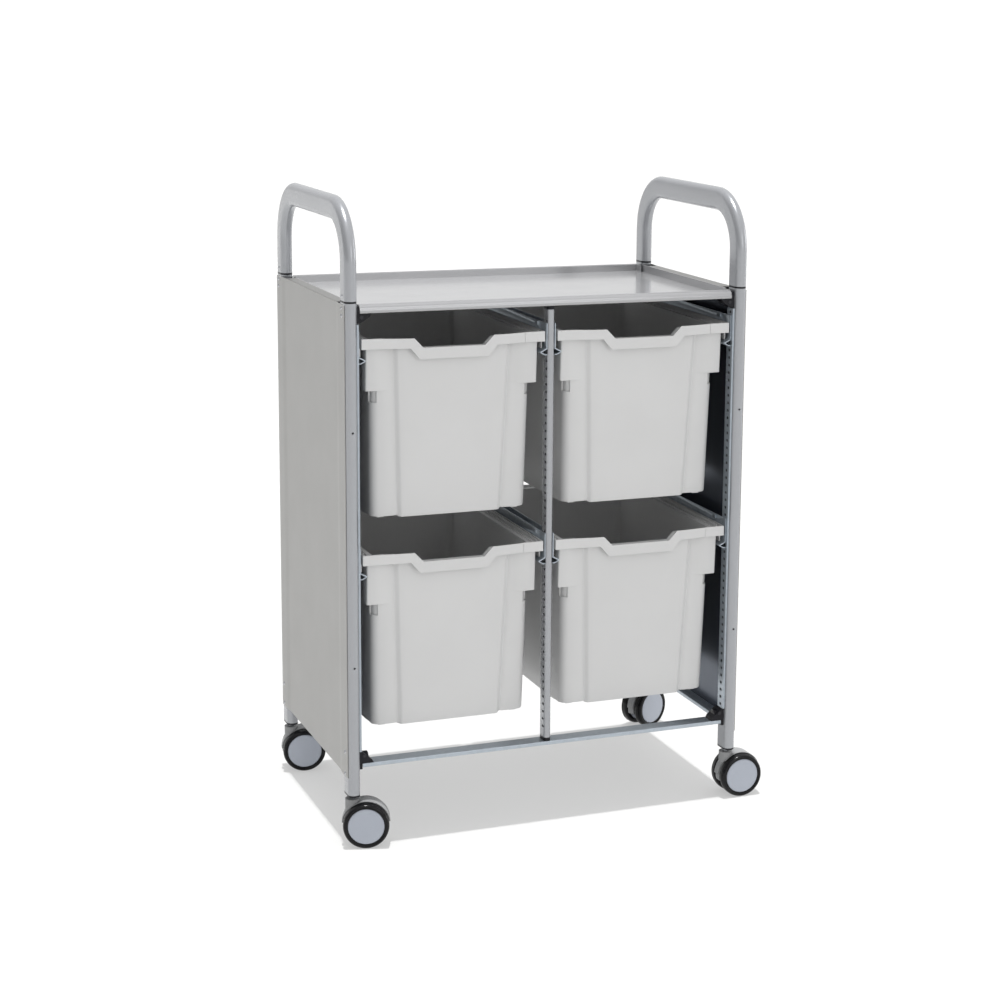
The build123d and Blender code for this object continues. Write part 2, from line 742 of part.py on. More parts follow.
# ---- castors --------------------------------------------------------------
with BuildPart() as castor_stems:
    for side, end in corners:
        with BuildSketch(level(foot_z - stem_low, side * post_x, end * post_y)):
            Circle(stem_diameter / 2)
        extrude(amount=stem_low + insert_length - 10.0)
save(castor_stems, "castor_stems")

for place, (side, end, bearing) in castors.items():
    turn = math.radians(bearing)
    trail_dir = Vector(math.cos(turn), math.sin(turn), 0)
    face_dir = Vector(math.sin(turn), -math.cos(turn), 0)
    stem = Vector(frame_x + side * post_x, end * post_y, 0)
    hub = stem + trail_dir * castor_trail + Vector(0, 0, axle_z)
    has_brake = end > 0

    def across(offset):
        """A plane square to the axle, at an offset towards the outer wheel."""
        return Plane(origin=hub + face_dir * offset, x_dir=trail_dir, z_dir=face_dir)

    def around(offset_z):
        """A horizontal plane on the stem's axis."""
        return Plane(origin=(stem.X, stem.Y, offset_z), x_dir=trail_dir)

    with BuildPart() as housing:
        # Web between the wheels.
        with BuildSketch(across(-web_half)):
            Circle(wheel_radius - 1.0)
            with Locations((0, -wheel_radius)):
                web_cut = 2 * (wheel_radius - web_below)
                Rectangle(2 * wheel_radius, web_cut, mode=Mode.SUBTRACT)
        extrude(amount=2 * web_half)
        # Neck round the stem.
        with BuildSketch(around(axle_z)):
            Circle(neck_diameter / 2)
        extrude(amount=foot_z - neck_drop - axle_z)
        # Fender over both wheels.
        with BuildSketch(across(-fender_width / 2)):
            Circle(hood_radius)
            Circle(wheel_radius + fender_gap, mode=Mode.SUBTRACT)
            with Locations((0, -hood_radius + 8.0)):
                Rectangle(2 * hood_radius + 2.0, 2 * hood_radius, mode=Mode.SUBTRACT)
            with Locations((-hood_radius - castor_trail - 6.0, 0)):
                Rectangle(2 * hood_radius, 3 * hood_radius, mode=Mode.SUBTRACT)
        extrude(amount=fender_width)
        # Rib that carries the fender on the web.
        with BuildSketch(across(-web_half)):
            Circle(hood_radius - 0.3)
            Circle(wheel_radius - 6.0, mode=Mode.SUBTRACT)
            with Locations((0, -hood_radius + 2.0)):
                Rectangle(2 * hood_radius + 2.0, 2 * hood_radius, mode=Mode.SUBTRACT)
        extrude(amount=2 * web_half)
        # Room for the wheels, then the stem's bore and the axle's bore.
        for face in (-1, 1):
            with BuildSketch(across(face * web_half)):
                Circle(wheel_radius + fender_gap)
            extrude(amount=face * 30.0, mode=Mode.SUBTRACT)
        with BuildSketch(around(foot_z - stem_low - 1.0)):
            Circle(stem_diameter / 2 + stem_clearance)
        extrude(amount=stem_low + 1.0, mode=Mode.SUBTRACT)
        with BuildSketch(across(-web_half - 1.0)):
            Circle(axle_diameter / 2)
        extrude(amount=2 * web_half + 2.0, mode=Mode.SUBTRACT)
        if has_brake:
            # Slot and pin hole for the brake lever.
            slot_half = lever_width / 2 + lever_clearance
            with BuildSketch(across(-slot_half)):
                with Locations((hood_radius - 4.0, 8.0)):
                    Rectangle(32.0, 22.0)
            extrude(amount=2 * slot_half, mode=Mode.SUBTRACT)
            with BuildSketch(across(-web_half - 1.0)):
                with Locations((wheel_radius - 10.0, 8.0)):
                    Circle(lever_pin / 2)
            extrude(amount=2 * web_half + 2.0, mode=Mode.SUBTRACT)
    save(housing, f"castor_housing_{place}")

    axle_half = castor_width / 2 - 4.0
    with BuildPart() as axle:
        with BuildSketch(across(-axle_half)):
            Circle(axle_diameter / 2)
        extrude(amount=2 * axle_half)
    save(axle, f"castor_axle_{place}")

    if has_brake:
        pivot = (wheel_radius - 10.0, 8.0)
        with BuildPart() as lever:
            with BuildSketch(across(-lever_width / 2)):
                with BuildLine():
                    Polyline(
                        (pivot[0] - 5.0, pivot[1] - 5.0),
                        (hood_radius + 1.0, pivot[1] - 5.0),
                        (hood_radius + lever_reach, pivot[1] - 4.0),
                        (hood_radius + lever_reach, pivot[1] + 2.0),
                        (hood_radius + 1.0, pivot[1] + 5.0),
                        (pivot[0] - 5.0, pivot[1] + 5.0),
                        close=True,
                    )
                make_face()
            extrude(amount=lever_width)
            with BuildSketch(across(-lever_width)):
                with Locations((hood_radius + lever_reach / 2 + 1.0, pivot[1] - 1.0)):
                    Rectangle(lever_reach - 3.0, 5.0)
            extrude(amount=2 * lever_width)
            with BuildSketch(across(-lever_width)):
                with Locations(pivot):
                    Circle(lever_pin / 2 + axle_clearance)
            extrude(amount=2 * lever_width, mode=Mode.SUBTRACT)
            level_edges = lever.edges().filter_by(lambda e: e.length > 11.0)
            fillet(level_edges, radius=0.8)
        save(lever, f"brake_lever_{place}")
        with BuildPart() as brake_pin:
            with BuildSketch(across(-web_half)):
                with Locations(pivot):
                    Circle(lever_pin / 2)
            extrude(amount=2 * web_half)
        save(brake_pin, f"brake_pin_{place}")

    for face, wheel in ((1, "outer"), (-1, "inner")):
        inside = web_half + web_gap
        with BuildPart() as tyre:
            with BuildSketch(across(face * inside)):
                Circle(wheel_radius)
                Circle(hub_diameter / 2, mode=Mode.SUBTRACT)
            extrude(amount=face * wheel_width)
            rims = tyre.edges().filter_by(GeomType.CIRCLE).filter_by(
                lambda e: e.radius > wheel_radius - 0.1
            )
            fillet(rims, radius=3.4)
        save(tyre, f"tyre_{place}_{wheel}")
        with BuildPart() as hub_disc:
            with BuildSketch(across(face * inside)):
                Circle(hub_diameter / 2)
            extrude(amount=face * (wheel_width - 0.6))
            with BuildSketch(across(face * inside)):
                Circle(axle_diameter / 2 + axle_clearance)
            extrude(amount=face * (wheel_width - 3.5), mode=Mode.SUBTRACT)
        save(hub_disc, f"hub_{place}_{wheel}")
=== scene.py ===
import json
import math

import bmesh
import bpy
from mathutils import Matrix, Vector


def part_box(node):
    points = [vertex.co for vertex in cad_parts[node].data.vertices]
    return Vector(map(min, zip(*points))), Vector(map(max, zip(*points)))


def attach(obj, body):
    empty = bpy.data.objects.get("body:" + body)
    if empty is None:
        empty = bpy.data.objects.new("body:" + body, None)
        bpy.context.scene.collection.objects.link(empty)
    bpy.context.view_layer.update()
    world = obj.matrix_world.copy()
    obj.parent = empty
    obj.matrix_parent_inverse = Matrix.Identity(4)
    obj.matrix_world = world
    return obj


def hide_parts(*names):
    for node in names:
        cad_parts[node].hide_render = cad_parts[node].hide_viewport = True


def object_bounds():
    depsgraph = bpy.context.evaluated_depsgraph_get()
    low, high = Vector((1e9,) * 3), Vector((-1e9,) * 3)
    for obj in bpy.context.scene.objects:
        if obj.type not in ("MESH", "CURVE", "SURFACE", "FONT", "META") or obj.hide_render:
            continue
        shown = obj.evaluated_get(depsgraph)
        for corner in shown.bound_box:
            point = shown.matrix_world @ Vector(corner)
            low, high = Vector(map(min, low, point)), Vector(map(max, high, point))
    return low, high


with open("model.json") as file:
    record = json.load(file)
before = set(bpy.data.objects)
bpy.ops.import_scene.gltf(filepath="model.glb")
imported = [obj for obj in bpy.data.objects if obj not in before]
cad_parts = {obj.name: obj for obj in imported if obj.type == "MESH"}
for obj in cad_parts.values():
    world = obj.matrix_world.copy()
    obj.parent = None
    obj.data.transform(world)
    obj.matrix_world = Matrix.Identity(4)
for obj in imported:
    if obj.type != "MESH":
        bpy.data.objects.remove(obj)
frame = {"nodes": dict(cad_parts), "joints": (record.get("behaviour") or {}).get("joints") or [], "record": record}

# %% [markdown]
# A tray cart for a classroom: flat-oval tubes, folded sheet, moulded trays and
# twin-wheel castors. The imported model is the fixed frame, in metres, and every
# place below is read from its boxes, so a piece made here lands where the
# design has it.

MM = 0.001
scene = bpy.context.scene
cad_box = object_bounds()
nodes = frame["nodes"]
bodies = frame["record"]["behaviour"]["bodies"]
body_of_node = {n: body for body, names in bodies.items() for n in names}
print("design box, metres:", [tuple(round(v, 4) for v in corner) for corner in cad_box])

# %% [markdown]
# **Camera.** A product shot is taken with a longish lens, a little above the
# cart's middle and from its left. Setting a camera by bearing, tilt and roll
# keeps those three numbers readable, where a bare matrix would hide them.

# %% Camera
CAMERA_PLACE = Vector((-1.2891, -3.4455, 1.3367))
CAMERA_BEARING, CAMERA_TILT, CAMERA_ROLL = 22.62, 10.93, 0.80
LENS_LENGTH, SENSOR_WIDTH = 78.61, 36.0
LENS_SHIFT = (-0.0978, -0.0679)
bearing, tilt, roll = (math.radians(a) for a in (CAMERA_BEARING, CAMERA_TILT, CAMERA_ROLL))
ahead = Vector(
    (math.sin(bearing) * math.cos(tilt), math.cos(bearing) * math.cos(tilt), -math.sin(tilt))
)
level_right = ahead.cross(Vector((0, 0, 1))).normalized()
level_up = level_right.cross(ahead)
right = math.cos(roll) * level_right + math.sin(roll) * level_up
up = right.cross(ahead)
camera_data = bpy.data.cameras.new("studio_camera")
camera_data.lens = LENS_LENGTH
camera_data.sensor_width = SENSOR_WIDTH
camera_data.shift_x, camera_data.shift_y = LENS_SHIFT
camera = bpy.data.objects.new("studio_camera", camera_data)
scene.collection.objects.link(camera)
turn = Matrix((right, up, -ahead)).transposed()
camera.matrix_world = Matrix.Translation(CAMERA_PLACE) @ turn.to_4x4()
scene.camera = camera

# %% [markdown]
# **Light.** A white cove, with one distant lamp straight overhead that puts
# an even shadow under the cart, and a weak soft box to the front. An even white
# sky would make the tubes look like paper, so the sky is dimmer to the left and
# below, with a bright band to the right, and metal has something to reflect.
# Rays that reach the camera straight from the sky stay white, through Light
# Path in the world's nodes.

# %% Lamps
MIDDLE = (cad_box[0] + cad_box[1]) / 2
OVERHEAD_STRENGTH = 3.6
OVERHEAD_ANGLE = math.radians(0.7)      # a small disc gives the shadow a crisp edge


def soft_box(name, place, size, power, colour=(1.0, 1.0, 1.0)):
    """A rectangular area light that looks at the middle of the cart."""
    data = bpy.data.lights.new(name, "AREA")
    data.shape = "RECTANGLE"
    data.size, data.size_y = size
    data.energy = power
    data.color = colour
    lamp = bpy.data.objects.new(name, data)
    lamp.location = place
    lamp.rotation_mode = "QUATERNION"
    lamp.rotation_quaternion = (MIDDLE - Vector(place)).to_track_quat("-Z", "Y")
    scene.collection.objects.link(lamp)


soft_box("front_box", (0.9, -3.6, 1.7), (1.6, 1.6), 9.0)
overhead = bpy.data.lights.new("overhead", "SUN")
overhead.energy = OVERHEAD_STRENGTH
overhead.angle = OVERHEAD_ANGLE
lamp = bpy.data.objects.new("overhead", overhead)
lamp.location = (0.0, 0.0, 5.0)
scene.collection.objects.link(lamp)

# %% Sky: white to the camera, shaded for everything else
world = bpy.data.worlds.new("white_cove")
world.use_nodes = True
scene.world = world
sky = world.node_tree
backdrop = sky.nodes["Background"]
WHITE_BEHIND = 1.08     # just past white, so that the background clips
backdrop.inputs["Color"].default_value = (1.0, 1.0, 1.0, 1.0)
direction = sky.nodes.new("ShaderNodeTexCoord")
split = sky.nodes.new("ShaderNodeSeparateXYZ")
sky.links.new(direction.outputs["Generated"], split.inputs["Vector"])


def sky_ramp(axis, start, end, low, high):
    """A brightness that changes smoothly with one axis of the sky's direction."""
    node = sky.nodes.new("ShaderNodeMapRange")
    node.interpolation_type = "SMOOTHSTEP"
    labels = ("From Min", "From Max", "To Min", "To Max")
    for label, value in zip(labels, (start, end, low, high)):
        node.inputs[label].default_value = value
    sky.links.new(split.outputs[axis], node.inputs["Value"])
    return node


def sky_math(operation, first, second):
    """One maths node of the sky; first and second are nodes."""
    node = sky.nodes.new("ShaderNodeMath")
    node.operation = operation
    sky.links.new(first.outputs[0], node.inputs[0])
    sky.links.new(second.outputs[0], node.inputs[1])
    return node


left_dim = sky_ramp("X", -0.95, -0.35, 0.40, 0.90)
height_dim = sky_ramp("Z", -0.2, 0.6, 0.86, 0.98)
right_band = sky_ramp("X", 0.94, 0.985, 0.0, 2.2)
shaded = sky_math("ADD", sky_math("MULTIPLY", left_dim, height_dim), right_band)
path = sky.nodes.new("ShaderNodeLightPath")
choose = sky.nodes.new("ShaderNodeMix")
choose.data_type = "FLOAT"
choose.inputs["B"].default_value = WHITE_BEHIND
sky.links.new(path.outputs["Is Camera Ray"], choose.inputs["Factor"])
sky.links.new(shaded.outputs[0], choose.inputs["A"])
sky.links.new(choose.outputs["Result"], backdrop.inputs["Strength"])
scene.view_settings.view_transform = "Standard"
print("sky nodes:", len(sky.nodes))

# %% [markdown]
# ** Node groups.** Three surface effects come back on several finishes: the fine skin of moulded plastic, the orange peel and metal flake of powder coat, and the spangle of galvanised sheet. Each is built once as a group with named inputs, and every material sets its own depths and roughness. Noise on Object coordinates stays put on a piece, because each piece keeps its place in its mesh.

# %% Node group helpers


def new_group(name, inputs, outputs):
    """An empty shader group; returns the tree and its input and output nodes."""
    tree = bpy.data.node_groups.new(name, "ShaderNodeTree")
    for label, kind, value in inputs:
        socket = tree.interface.new_socket(name=label, in_out="INPUT", socket_type=kind)
        socket.default_value = value
    for label, kind in outputs:
        tree.interface.new_socket(name=label, in_out="OUTPUT", socket_type=kind)
    return tree, tree.nodes.new("NodeGroupInput"), tree.nodes.new("NodeGroupOutput")


def link(tree, source, socket, target, target_socket):
    """Wire one node's output to another node's input, by name or number."""
    tree.links.new(source.outputs[socket], target.inputs[target_socket])


def noise_node(tree, detail, roughness=0.5):
    """A noise texture that reads Object coordinates."""
    place = tree.nodes.new("ShaderNodeTexCoord")
    noise = tree.nodes.new("ShaderNodeTexNoise")
    noise.inputs["Detail"].default_value = detail
    noise.inputs["Roughness"].default_value = roughness
    link(tree, place, "Object", noise, "Vector")
    return noise


def remap(tree, source, socket, low, high, smooth=False):
    """Stretch a 0 to 1 value to run from low to high; low and high may be sockets."""
    node = tree.nodes.new("ShaderNodeMapRange")
    node.interpolation_type = "SMOOTHSTEP" if smooth else "LINEAR"
    link(tree, source, socket, node, "Value")
    for name, value in (("To Min", low), ("To Max", high)):
        if isinstance(value, tuple):
            link(tree, value[0], value[1], node, name)
        else:
            node.inputs[name].default_value = value
    return node


def tint(tree, colour_from, colour_socket, mask, mask_socket, mode="MULTIPLY"):
    """Blend a colour with a grey mask; returns the mix node."""
    mix = tree.nodes.new("ShaderNodeMix")
    mix.data_type = "RGBA"
    mix.blend_type = mode
    mix.inputs["Factor"].default_value = 1.0
    tree.links.new(colour_from.outputs[colour_socket], mix.inputs["A"])
    tree.links.new(mask.outputs[mask_socket], mix.inputs["B"])
    return mix


# %% Moulded skin: fine grain, slow colour drift, faint flow marks
FINISH_OUTPUTS = [
    ("Colour", "NodeSocketColor"),
    ("Roughness", "NodeSocketFloat"),
    ("Height", "NodeSocketFloat"),
]
skin, skin_in, skin_out = new_group(
    "moulded_skin",
    [
        ("Colour", "NodeSocketColor", (0.5, 0.5, 0.5, 1.0)),
        ("Drift", "NodeSocketFloat", 0.97),
        ("Grain Scale", "NodeSocketFloat", 900.0),
        ("Rough Low", "NodeSocketFloat", 0.4),
        ("Rough High", "NodeSocketFloat", 0.5),
    ],
    FINISH_OUTPUTS,
)
drift = noise_node(skin, 3.0)
drift.inputs["Scale"].default_value = 9.0
drift_range = remap(skin, drift, "Fac", (skin_in, "Drift"), 1.0, smooth=True)
drift_range.inputs["From Min"].default_value = 0.3
drift_range.inputs["From Max"].default_value = 0.7
tinted = tint(skin, skin_in, "Colour", drift_range, "Result")
link(skin, tinted, "Result", skin_out, "Colour")
grain = noise_node(skin, 4.0, 0.6)
link(skin, skin_in, "Grain Scale", grain, "Scale")
link(skin, grain, "Fac", skin_out, "Height")
smear = noise_node(skin, 4.0, 0.65)
smear.inputs["Scale"].default_value = 24.0
smear_range = remap(skin, smear, "Fac", (skin_in, "Rough Low"), (skin_in, "Rough High"))
link(skin, smear_range, "Result", skin_out, "Roughness")

# %% Powder coat: orange peel and a fine metal flake
coat, coat_in, coat_out = new_group(
    "powder_coat",
    [
        ("Colour", "NodeSocketColor", (0.5, 0.5, 0.5, 1.0)),
        ("Flake Depth", "NodeSocketFloat", 0.9),
        ("Peel Scale", "NodeSocketFloat", 420.0),
        ("Rough Low", "NodeSocketFloat", 0.3),
        ("Rough High", "NodeSocketFloat", 0.4),
    ],
    FINISH_OUTPUTS,
)
flake = noise_node(coat, 2.0, 0.8)
flake.inputs["Scale"].default_value = 2600.0
flake_range = remap(coat, flake, "Fac", (coat_in, "Flake Depth"), 1.0)
flake_range.inputs["From Min"].default_value = 0.35
flake_range.inputs["From Max"].default_value = 0.65
flaked = tint(coat, coat_in, "Colour", flake_range, "Result")
link(coat, flaked, "Result", coat_out, "Colour")
peel = noise_node(coat, 2.0)
link(coat, coat_in, "Peel Scale", peel, "Scale")
link(coat, peel, "Fac", coat_out, "Height")
rub = noise_node(coat, 5.0, 0.6)
rub.inputs["Scale"].default_value = 14.0
rub_range = remap(coat, rub, "Fac", (coat_in, "Rough Low"), (coat_in, "Rough High"), smooth=True)
link(coat, rub_range, "Result", coat_out, "Roughness")

# %% Zinc: spangle cells and rolling lines along the sheet
zinc, zinc_in, zinc_out = new_group(
    "zinc_sheet",
    [
        ("Colour", "NodeSocketColor", (0.55, 0.6, 0.65, 1.0)),
        ("Cell Scale", "NodeSocketFloat", 160.0),
        ("Cell Depth", "NodeSocketFloat", 0.8),
        ("Rough Low", "NodeSocketFloat", 0.22),
        ("Rough High", "NodeSocketFloat", 0.38),
    ],
    FINISH_OUTPUTS,
)
zinc_place = zinc.nodes.new("ShaderNodeTexCoord")
cells = zinc.nodes.new("ShaderNodeTexVoronoi")
link(zinc, zinc_place, "Object", cells, "Vector")
link(zinc, zinc_in, "Cell Scale", cells, "Scale")
cell_grey = zinc.nodes.new("ShaderNodeRGBToBW")
link(zinc, cells, "Color", cell_grey, "Color")
cell_range = remap(zinc, cell_grey, "Val", (zinc_in, "Cell Depth"), 1.0)
spangled = tint(zinc, zinc_in, "Colour", cell_range, "Result")
link(zinc, spangled, "Result", zinc_out, "Colour")
stretch = zinc.nodes.new("ShaderNodeMapping")
stretch.inputs["Scale"].default_value = (900.0, 900.0, 6.0)
link(zinc, zinc_place, "Object", stretch, "Vector")
rolling = zinc.nodes.new("ShaderNodeTexNoise")
rolling.inputs["Scale"].default_value = 1.0
rolling.inputs["Detail"].default_value = 3.0
link(zinc, stretch, "Vector", rolling, "Vector")
zinc_rough = remap(zinc, rolling, "Fac", (zinc_in, "Rough Low"), (zinc_in, "Rough High"))
link(zinc, zinc_rough, "Result", zinc_out, "Roughness")
link(zinc, rolling, "Fac", zinc_out, "Height")

# %% [markdown]
# **Materials.** Every finish is a Principled shader fed by one of the groups.
# What is the same all over, such as the metal share or the specular level, is set on the shader's own socket, and
# only what changes over the surface is wired.

# %% Material maker


def finish_material(name, group, colour, group_values, metallic, bump, relief, **sockets):
    """A Principled material whose colour, roughness and bump come from a group."""
    material = bpy.data.materials.new(name)
    material.use_nodes = True
    tree = material.node_tree
    shader = tree.nodes["Principled BSDF"]
    surface = tree.nodes.new("ShaderNodeGroup")
    surface.node_tree = group
    surface.inputs["Colour"].default_value = (*colour, 1.0)
    for label, value in group_values.items():
        surface.inputs[label].default_value = value
    link(tree, surface, "Colour", shader, "Base Color")
    link(tree, surface, "Roughness", shader, "Roughness")
    shader.inputs["Metallic"].default_value = metallic
    for label, value in sockets.items():
        shader.inputs[label.replace("_", " ")].default_value = value
    relief_node = tree.nodes.new("ShaderNodeBump")
    relief_node.inputs["Strength"].default_value = bump
    relief_node.inputs["Distance"].default_value = relief
    link(tree, surface, "Height", relief_node, "Height")
    link(tree, relief_node, "Normal", shader, "Normal")
    material.diffuse_color = (*colour, 1.0)
    return material


# %% Finishes of the cart
materials = {
    "frame_paint": finish_material(
        "silver_powder_coat", coat, (0.39, 0.40, 0.42),
        {"Flake Depth": 0.86, "Rough Low": 0.2, "Rough High": 0.28},
        0.55, 0.12, 0.0003,
    ),
    "panel_paint": finish_material(
        "warm_grey_powder_coat", coat, (0.41, 0.407, 0.398),
        {"Flake Depth": 0.9, "Rough Low": 0.42, "Rough High": 0.52},
        0.2, 0.12, 0.0003,
    ),
    "shelf_paint": finish_material(
        "silver_shelf_lacquer", coat, (0.40, 0.402, 0.41),
        {"Flake Depth": 0.93, "Rough Low": 0.12, "Rough High": 0.2},
        0.45, 0.05, 0.0002,
    ),
    "galvanised": finish_material(
        "bright_zinc", zinc, (0.44, 0.49, 0.54),
        {"Cell Depth": 0.88, "Rough Low": 0.3, "Rough High": 0.42}, 0.65, 0.1, 0.0002,
    ),
    "bright_steel": finish_material(
        "plated_steel", zinc, (0.50, 0.51, 0.53),
        {"Cell Depth": 0.95, "Rough Low": 0.12, "Rough High": 0.2}, 1.0, 0.05, 0.0001,
    ),
    "black_plastic": finish_material(
        "black_nylon", skin, (0.008, 0.008, 0.011),
        {"Drift": 0.8, "Rough Low": 0.28, "Rough High": 0.4}, 0.0, 0.15, 0.0002,
        Specular_IOR_Level=0.22,
    ),
    "tray_plastic": finish_material(
        "grey_tray_plastic", skin, (0.60, 0.60, 0.60),
        {"Drift": 0.975, "Rough Low": 0.42, "Rough High": 0.52}, 0.0, 0.06, 0.0002,
    ),
    "castor_plastic": finish_material(
        "castor_grey_plastic", skin, (0.27, 0.275, 0.28),
        {"Drift": 0.9, "Rough Low": 0.4, "Rough High": 0.52}, 0.0, 0.1, 0.0002,
    ),
    "lever_plastic": finish_material(
        "lever_grey_plastic", skin, (0.30, 0.31, 0.30),
        {"Drift": 0.9, "Rough Low": 0.4, "Rough High": 0.52}, 0.0, 0.1, 0.0002,
    ),
    "hub_plastic": finish_material(
        "hub_blue_grey_plastic", skin, (0.40, 0.43, 0.49),
        {"Drift": 0.95, "Rough Low": 0.3, "Rough High": 0.42}, 0.0, 0.05, 0.0002,
    ),
    "tyre": finish_material(
        "black_tread", skin, (0.004, 0.004, 0.005),
        {"Drift": 0.8, "Rough Low": 0.16, "Rough High": 0.24}, 0.0, 0.1, 0.0002,
        Specular_IOR_Level=0.25,
    ),
}
# Painted shade: the panels' inner faces are given a near-black colour for the dark gap between panel and trays.
panel_inside_painted_shade = finish_material(
    "panel_inner_face_painted_shade", coat, (0.085, 0.10, 0.13),
    {"Flake Depth": 0.85, "Rough Low": 0.2, "Rough High": 0.3}, 0.7, 0.05, 0.0002,
)
black_screw = finish_material(
    "blackened_screw", zinc, (0.03, 0.03, 0.035),
    {"Cell Depth": 0.9, "Rough Low": 0.3, "Rough High": 0.4}, 0.6, 0.05, 0.0001,
)
slot_of_node = {s["node"]: s["material_slot"] for s in frame["record"]["subparts"]}
for name, node in nodes.items():
    node.data.materials.clear()
    node.data.materials.append(materials[slot_of_node[name]])
print("finishes:", len(materials) + 1)

# %% [markdown]
# **Making and finishing a piece.** A mesh made here gets its material, rides on
# the body that its design node rides on, and stands for that node. Shading is
# smooth except where two faces meet at a clear angle, as on a moulded or folded
# part. The Bevel modifier gives the small edge radius that catches the light.

# %% Piece helpers


def finish_piece(name, mesh, node_names, sharp=32.0, bevel=0.0, segments=2):
    """Link a mesh as the piece that stands for some nodes of one body."""
    node_names = [node_names] if isinstance(node_names, str) else list(node_names)
    piece = bpy.data.objects.new(name, mesh)
    scene.collection.objects.link(piece)
    finish = slot_of_node[node_names[0]]
    if not mesh.materials:
        blackened = "connector_screws" in node_names
        mesh.materials.append(black_screw if blackened else materials[finish])
    mesh.polygons.foreach_set("use_smooth", [True] * len(mesh.polygons))
    mesh.set_sharp_from_angle(angle=math.radians(sharp))
    if bevel:
        edge = piece.modifiers.new("soft_edges", "BEVEL")
        edge.width = bevel * MM
        edge.segments = segments
        edge.limit_method = "ANGLE"
        edge.angle_limit = math.radians(40.0)
        edge.harden_normals = True
    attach(piece, body_of_node[node_names[0]])
    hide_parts(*node_names)
    return piece


def softened(node_name, bevel=0.4, segments=2, sharp=32.0):
    """A merged copy of a design node, with small radii on its edges."""
    shape = bmesh.new()
    shape.from_mesh(nodes[node_name].data)
    bmesh.ops.remove_doubles(shape, verts=shape.verts, dist=2e-6)
    bmesh.ops.dissolve_limit(
        shape, angle_limit=math.radians(0.5), verts=shape.verts[:], edges=shape.edges[:]
    )
    mesh = bpy.data.meshes.new(node_name + "_finished")
    shape.to_mesh(mesh)
    shape.free()
    return finish_piece(node_name + "_finished", mesh, node_name, sharp, bevel, segments)


def add_prism(shape, outline, axis, low, high):
    """Add a closed prism; outline is in the two axes left, low to high along axis."""
    others = [a for a in range(3) if a != axis]
    ends = []
    for value in (low, high):
        ring = []
        for first, second in outline:
            place = [0.0, 0.0, 0.0]
            place[others[0]], place[others[1]], place[axis] = first, second, value
            ring.append(shape.verts.new(place))
        ends.append(ring)
    count = len(outline)
    bottom, top = ends
    faces = []
    for i in range(count):
        j = (i + 1) % count
        faces.append(shape.faces.new((bottom[i], bottom[j], top[j], top[i])))
    faces.append(shape.faces.new(ends[0]))
    faces.append(shape.faces.new(ends[1]))
    bmesh.ops.recalc_face_normals(shape, faces=faces)
    return faces


def add_block(shape, low, high):
    """Add a closed box between two corners."""
    outline = [(low[0], low[1]), (high[0], low[1]), (high[0], high[1]), (low[0], high[1])]
    return add_prism(shape, outline, 2, low[2], high[2])


def to_mesh(shape, name):
    """Turn a bmesh into a mesh and free it."""
    mesh = bpy.data.meshes.new(name)
    shape.to_mesh(mesh)
    shape.free()
    return mesh


# %% [markdown]
# **Trays.** Each tray is one injection moulding: a tapered tub with a flanged
# rim, a hand dip in the front, ears beside the front, and a flat middle between
# two shallow grooves. A modeller could carve it with booleans, but here one
# outline is drawn as a ring of points, and rings at many heights are bridged,
# from the outside floor up over the rim and down to the inside floor. Every
# ring has the same number of points, so the whole tub is one closed skin.

# %% Tray sizes, in millimetres from the tray's middle and its underside
TRAY_FRONT, TRAY_BACK, TRAY_HALF = 203.0, 211.0, 153.0
TUB_FRONT = (177.0, 191.0)      # at the underside and at the flange
TUB_BACK = (197.0, 203.0)
TUB_HALF = (131.0, 134.6)
GROOVE = (81.5, 92.0)           # half width of the flat middle
TUB_WALL, TUB_FLOOR, FLANGE_DROP, RIM = 2.5, 3.0, 5.0, 16.0
SKIRT_DROP, SKIRT_START = 29.6, 190.0
EAR_HALF, EAR_DROP, EAR_DEPTH, POCKET, POCKET_DEPTH = 143.5, 84.5, 20.0, 20.0, 18.0
NEST_TOP, NEST_INSET = 34.0, 3.0
DIP_TOP = ((51.5, 15.5), (66.5, 0.0))       # half width, depth below the rim
DIP_UNDER = ((57.5, 17.5), (72.5, 0.0))


def blend(a, b, share):
    """A value between a and b."""
    return a + (b - a) * share


def smooth(share):
    """Ease a 0 to 1 share at both ends."""
    share = min(max(share, 0.0), 1.0)
    return share * share * (3 - 2 * share)


def dip(x, y, table):
    """How far the hand dip lowers a point of the front."""
    (inner, depth), (outer, _) = table
    if y > -150.0 or abs(x) >= outer:
        return 0.0
    return depth * min(1.0, (outer - abs(x)) / (outer - inner))


def rim_slope(x, y):
    """The front rim falls a little from its outer ends to the dip."""
    if y > -180.0:
        return 0.0
    return 2.2 * smooth((145.0 - abs(x)) / 75.0)


# %% One ring of the tray


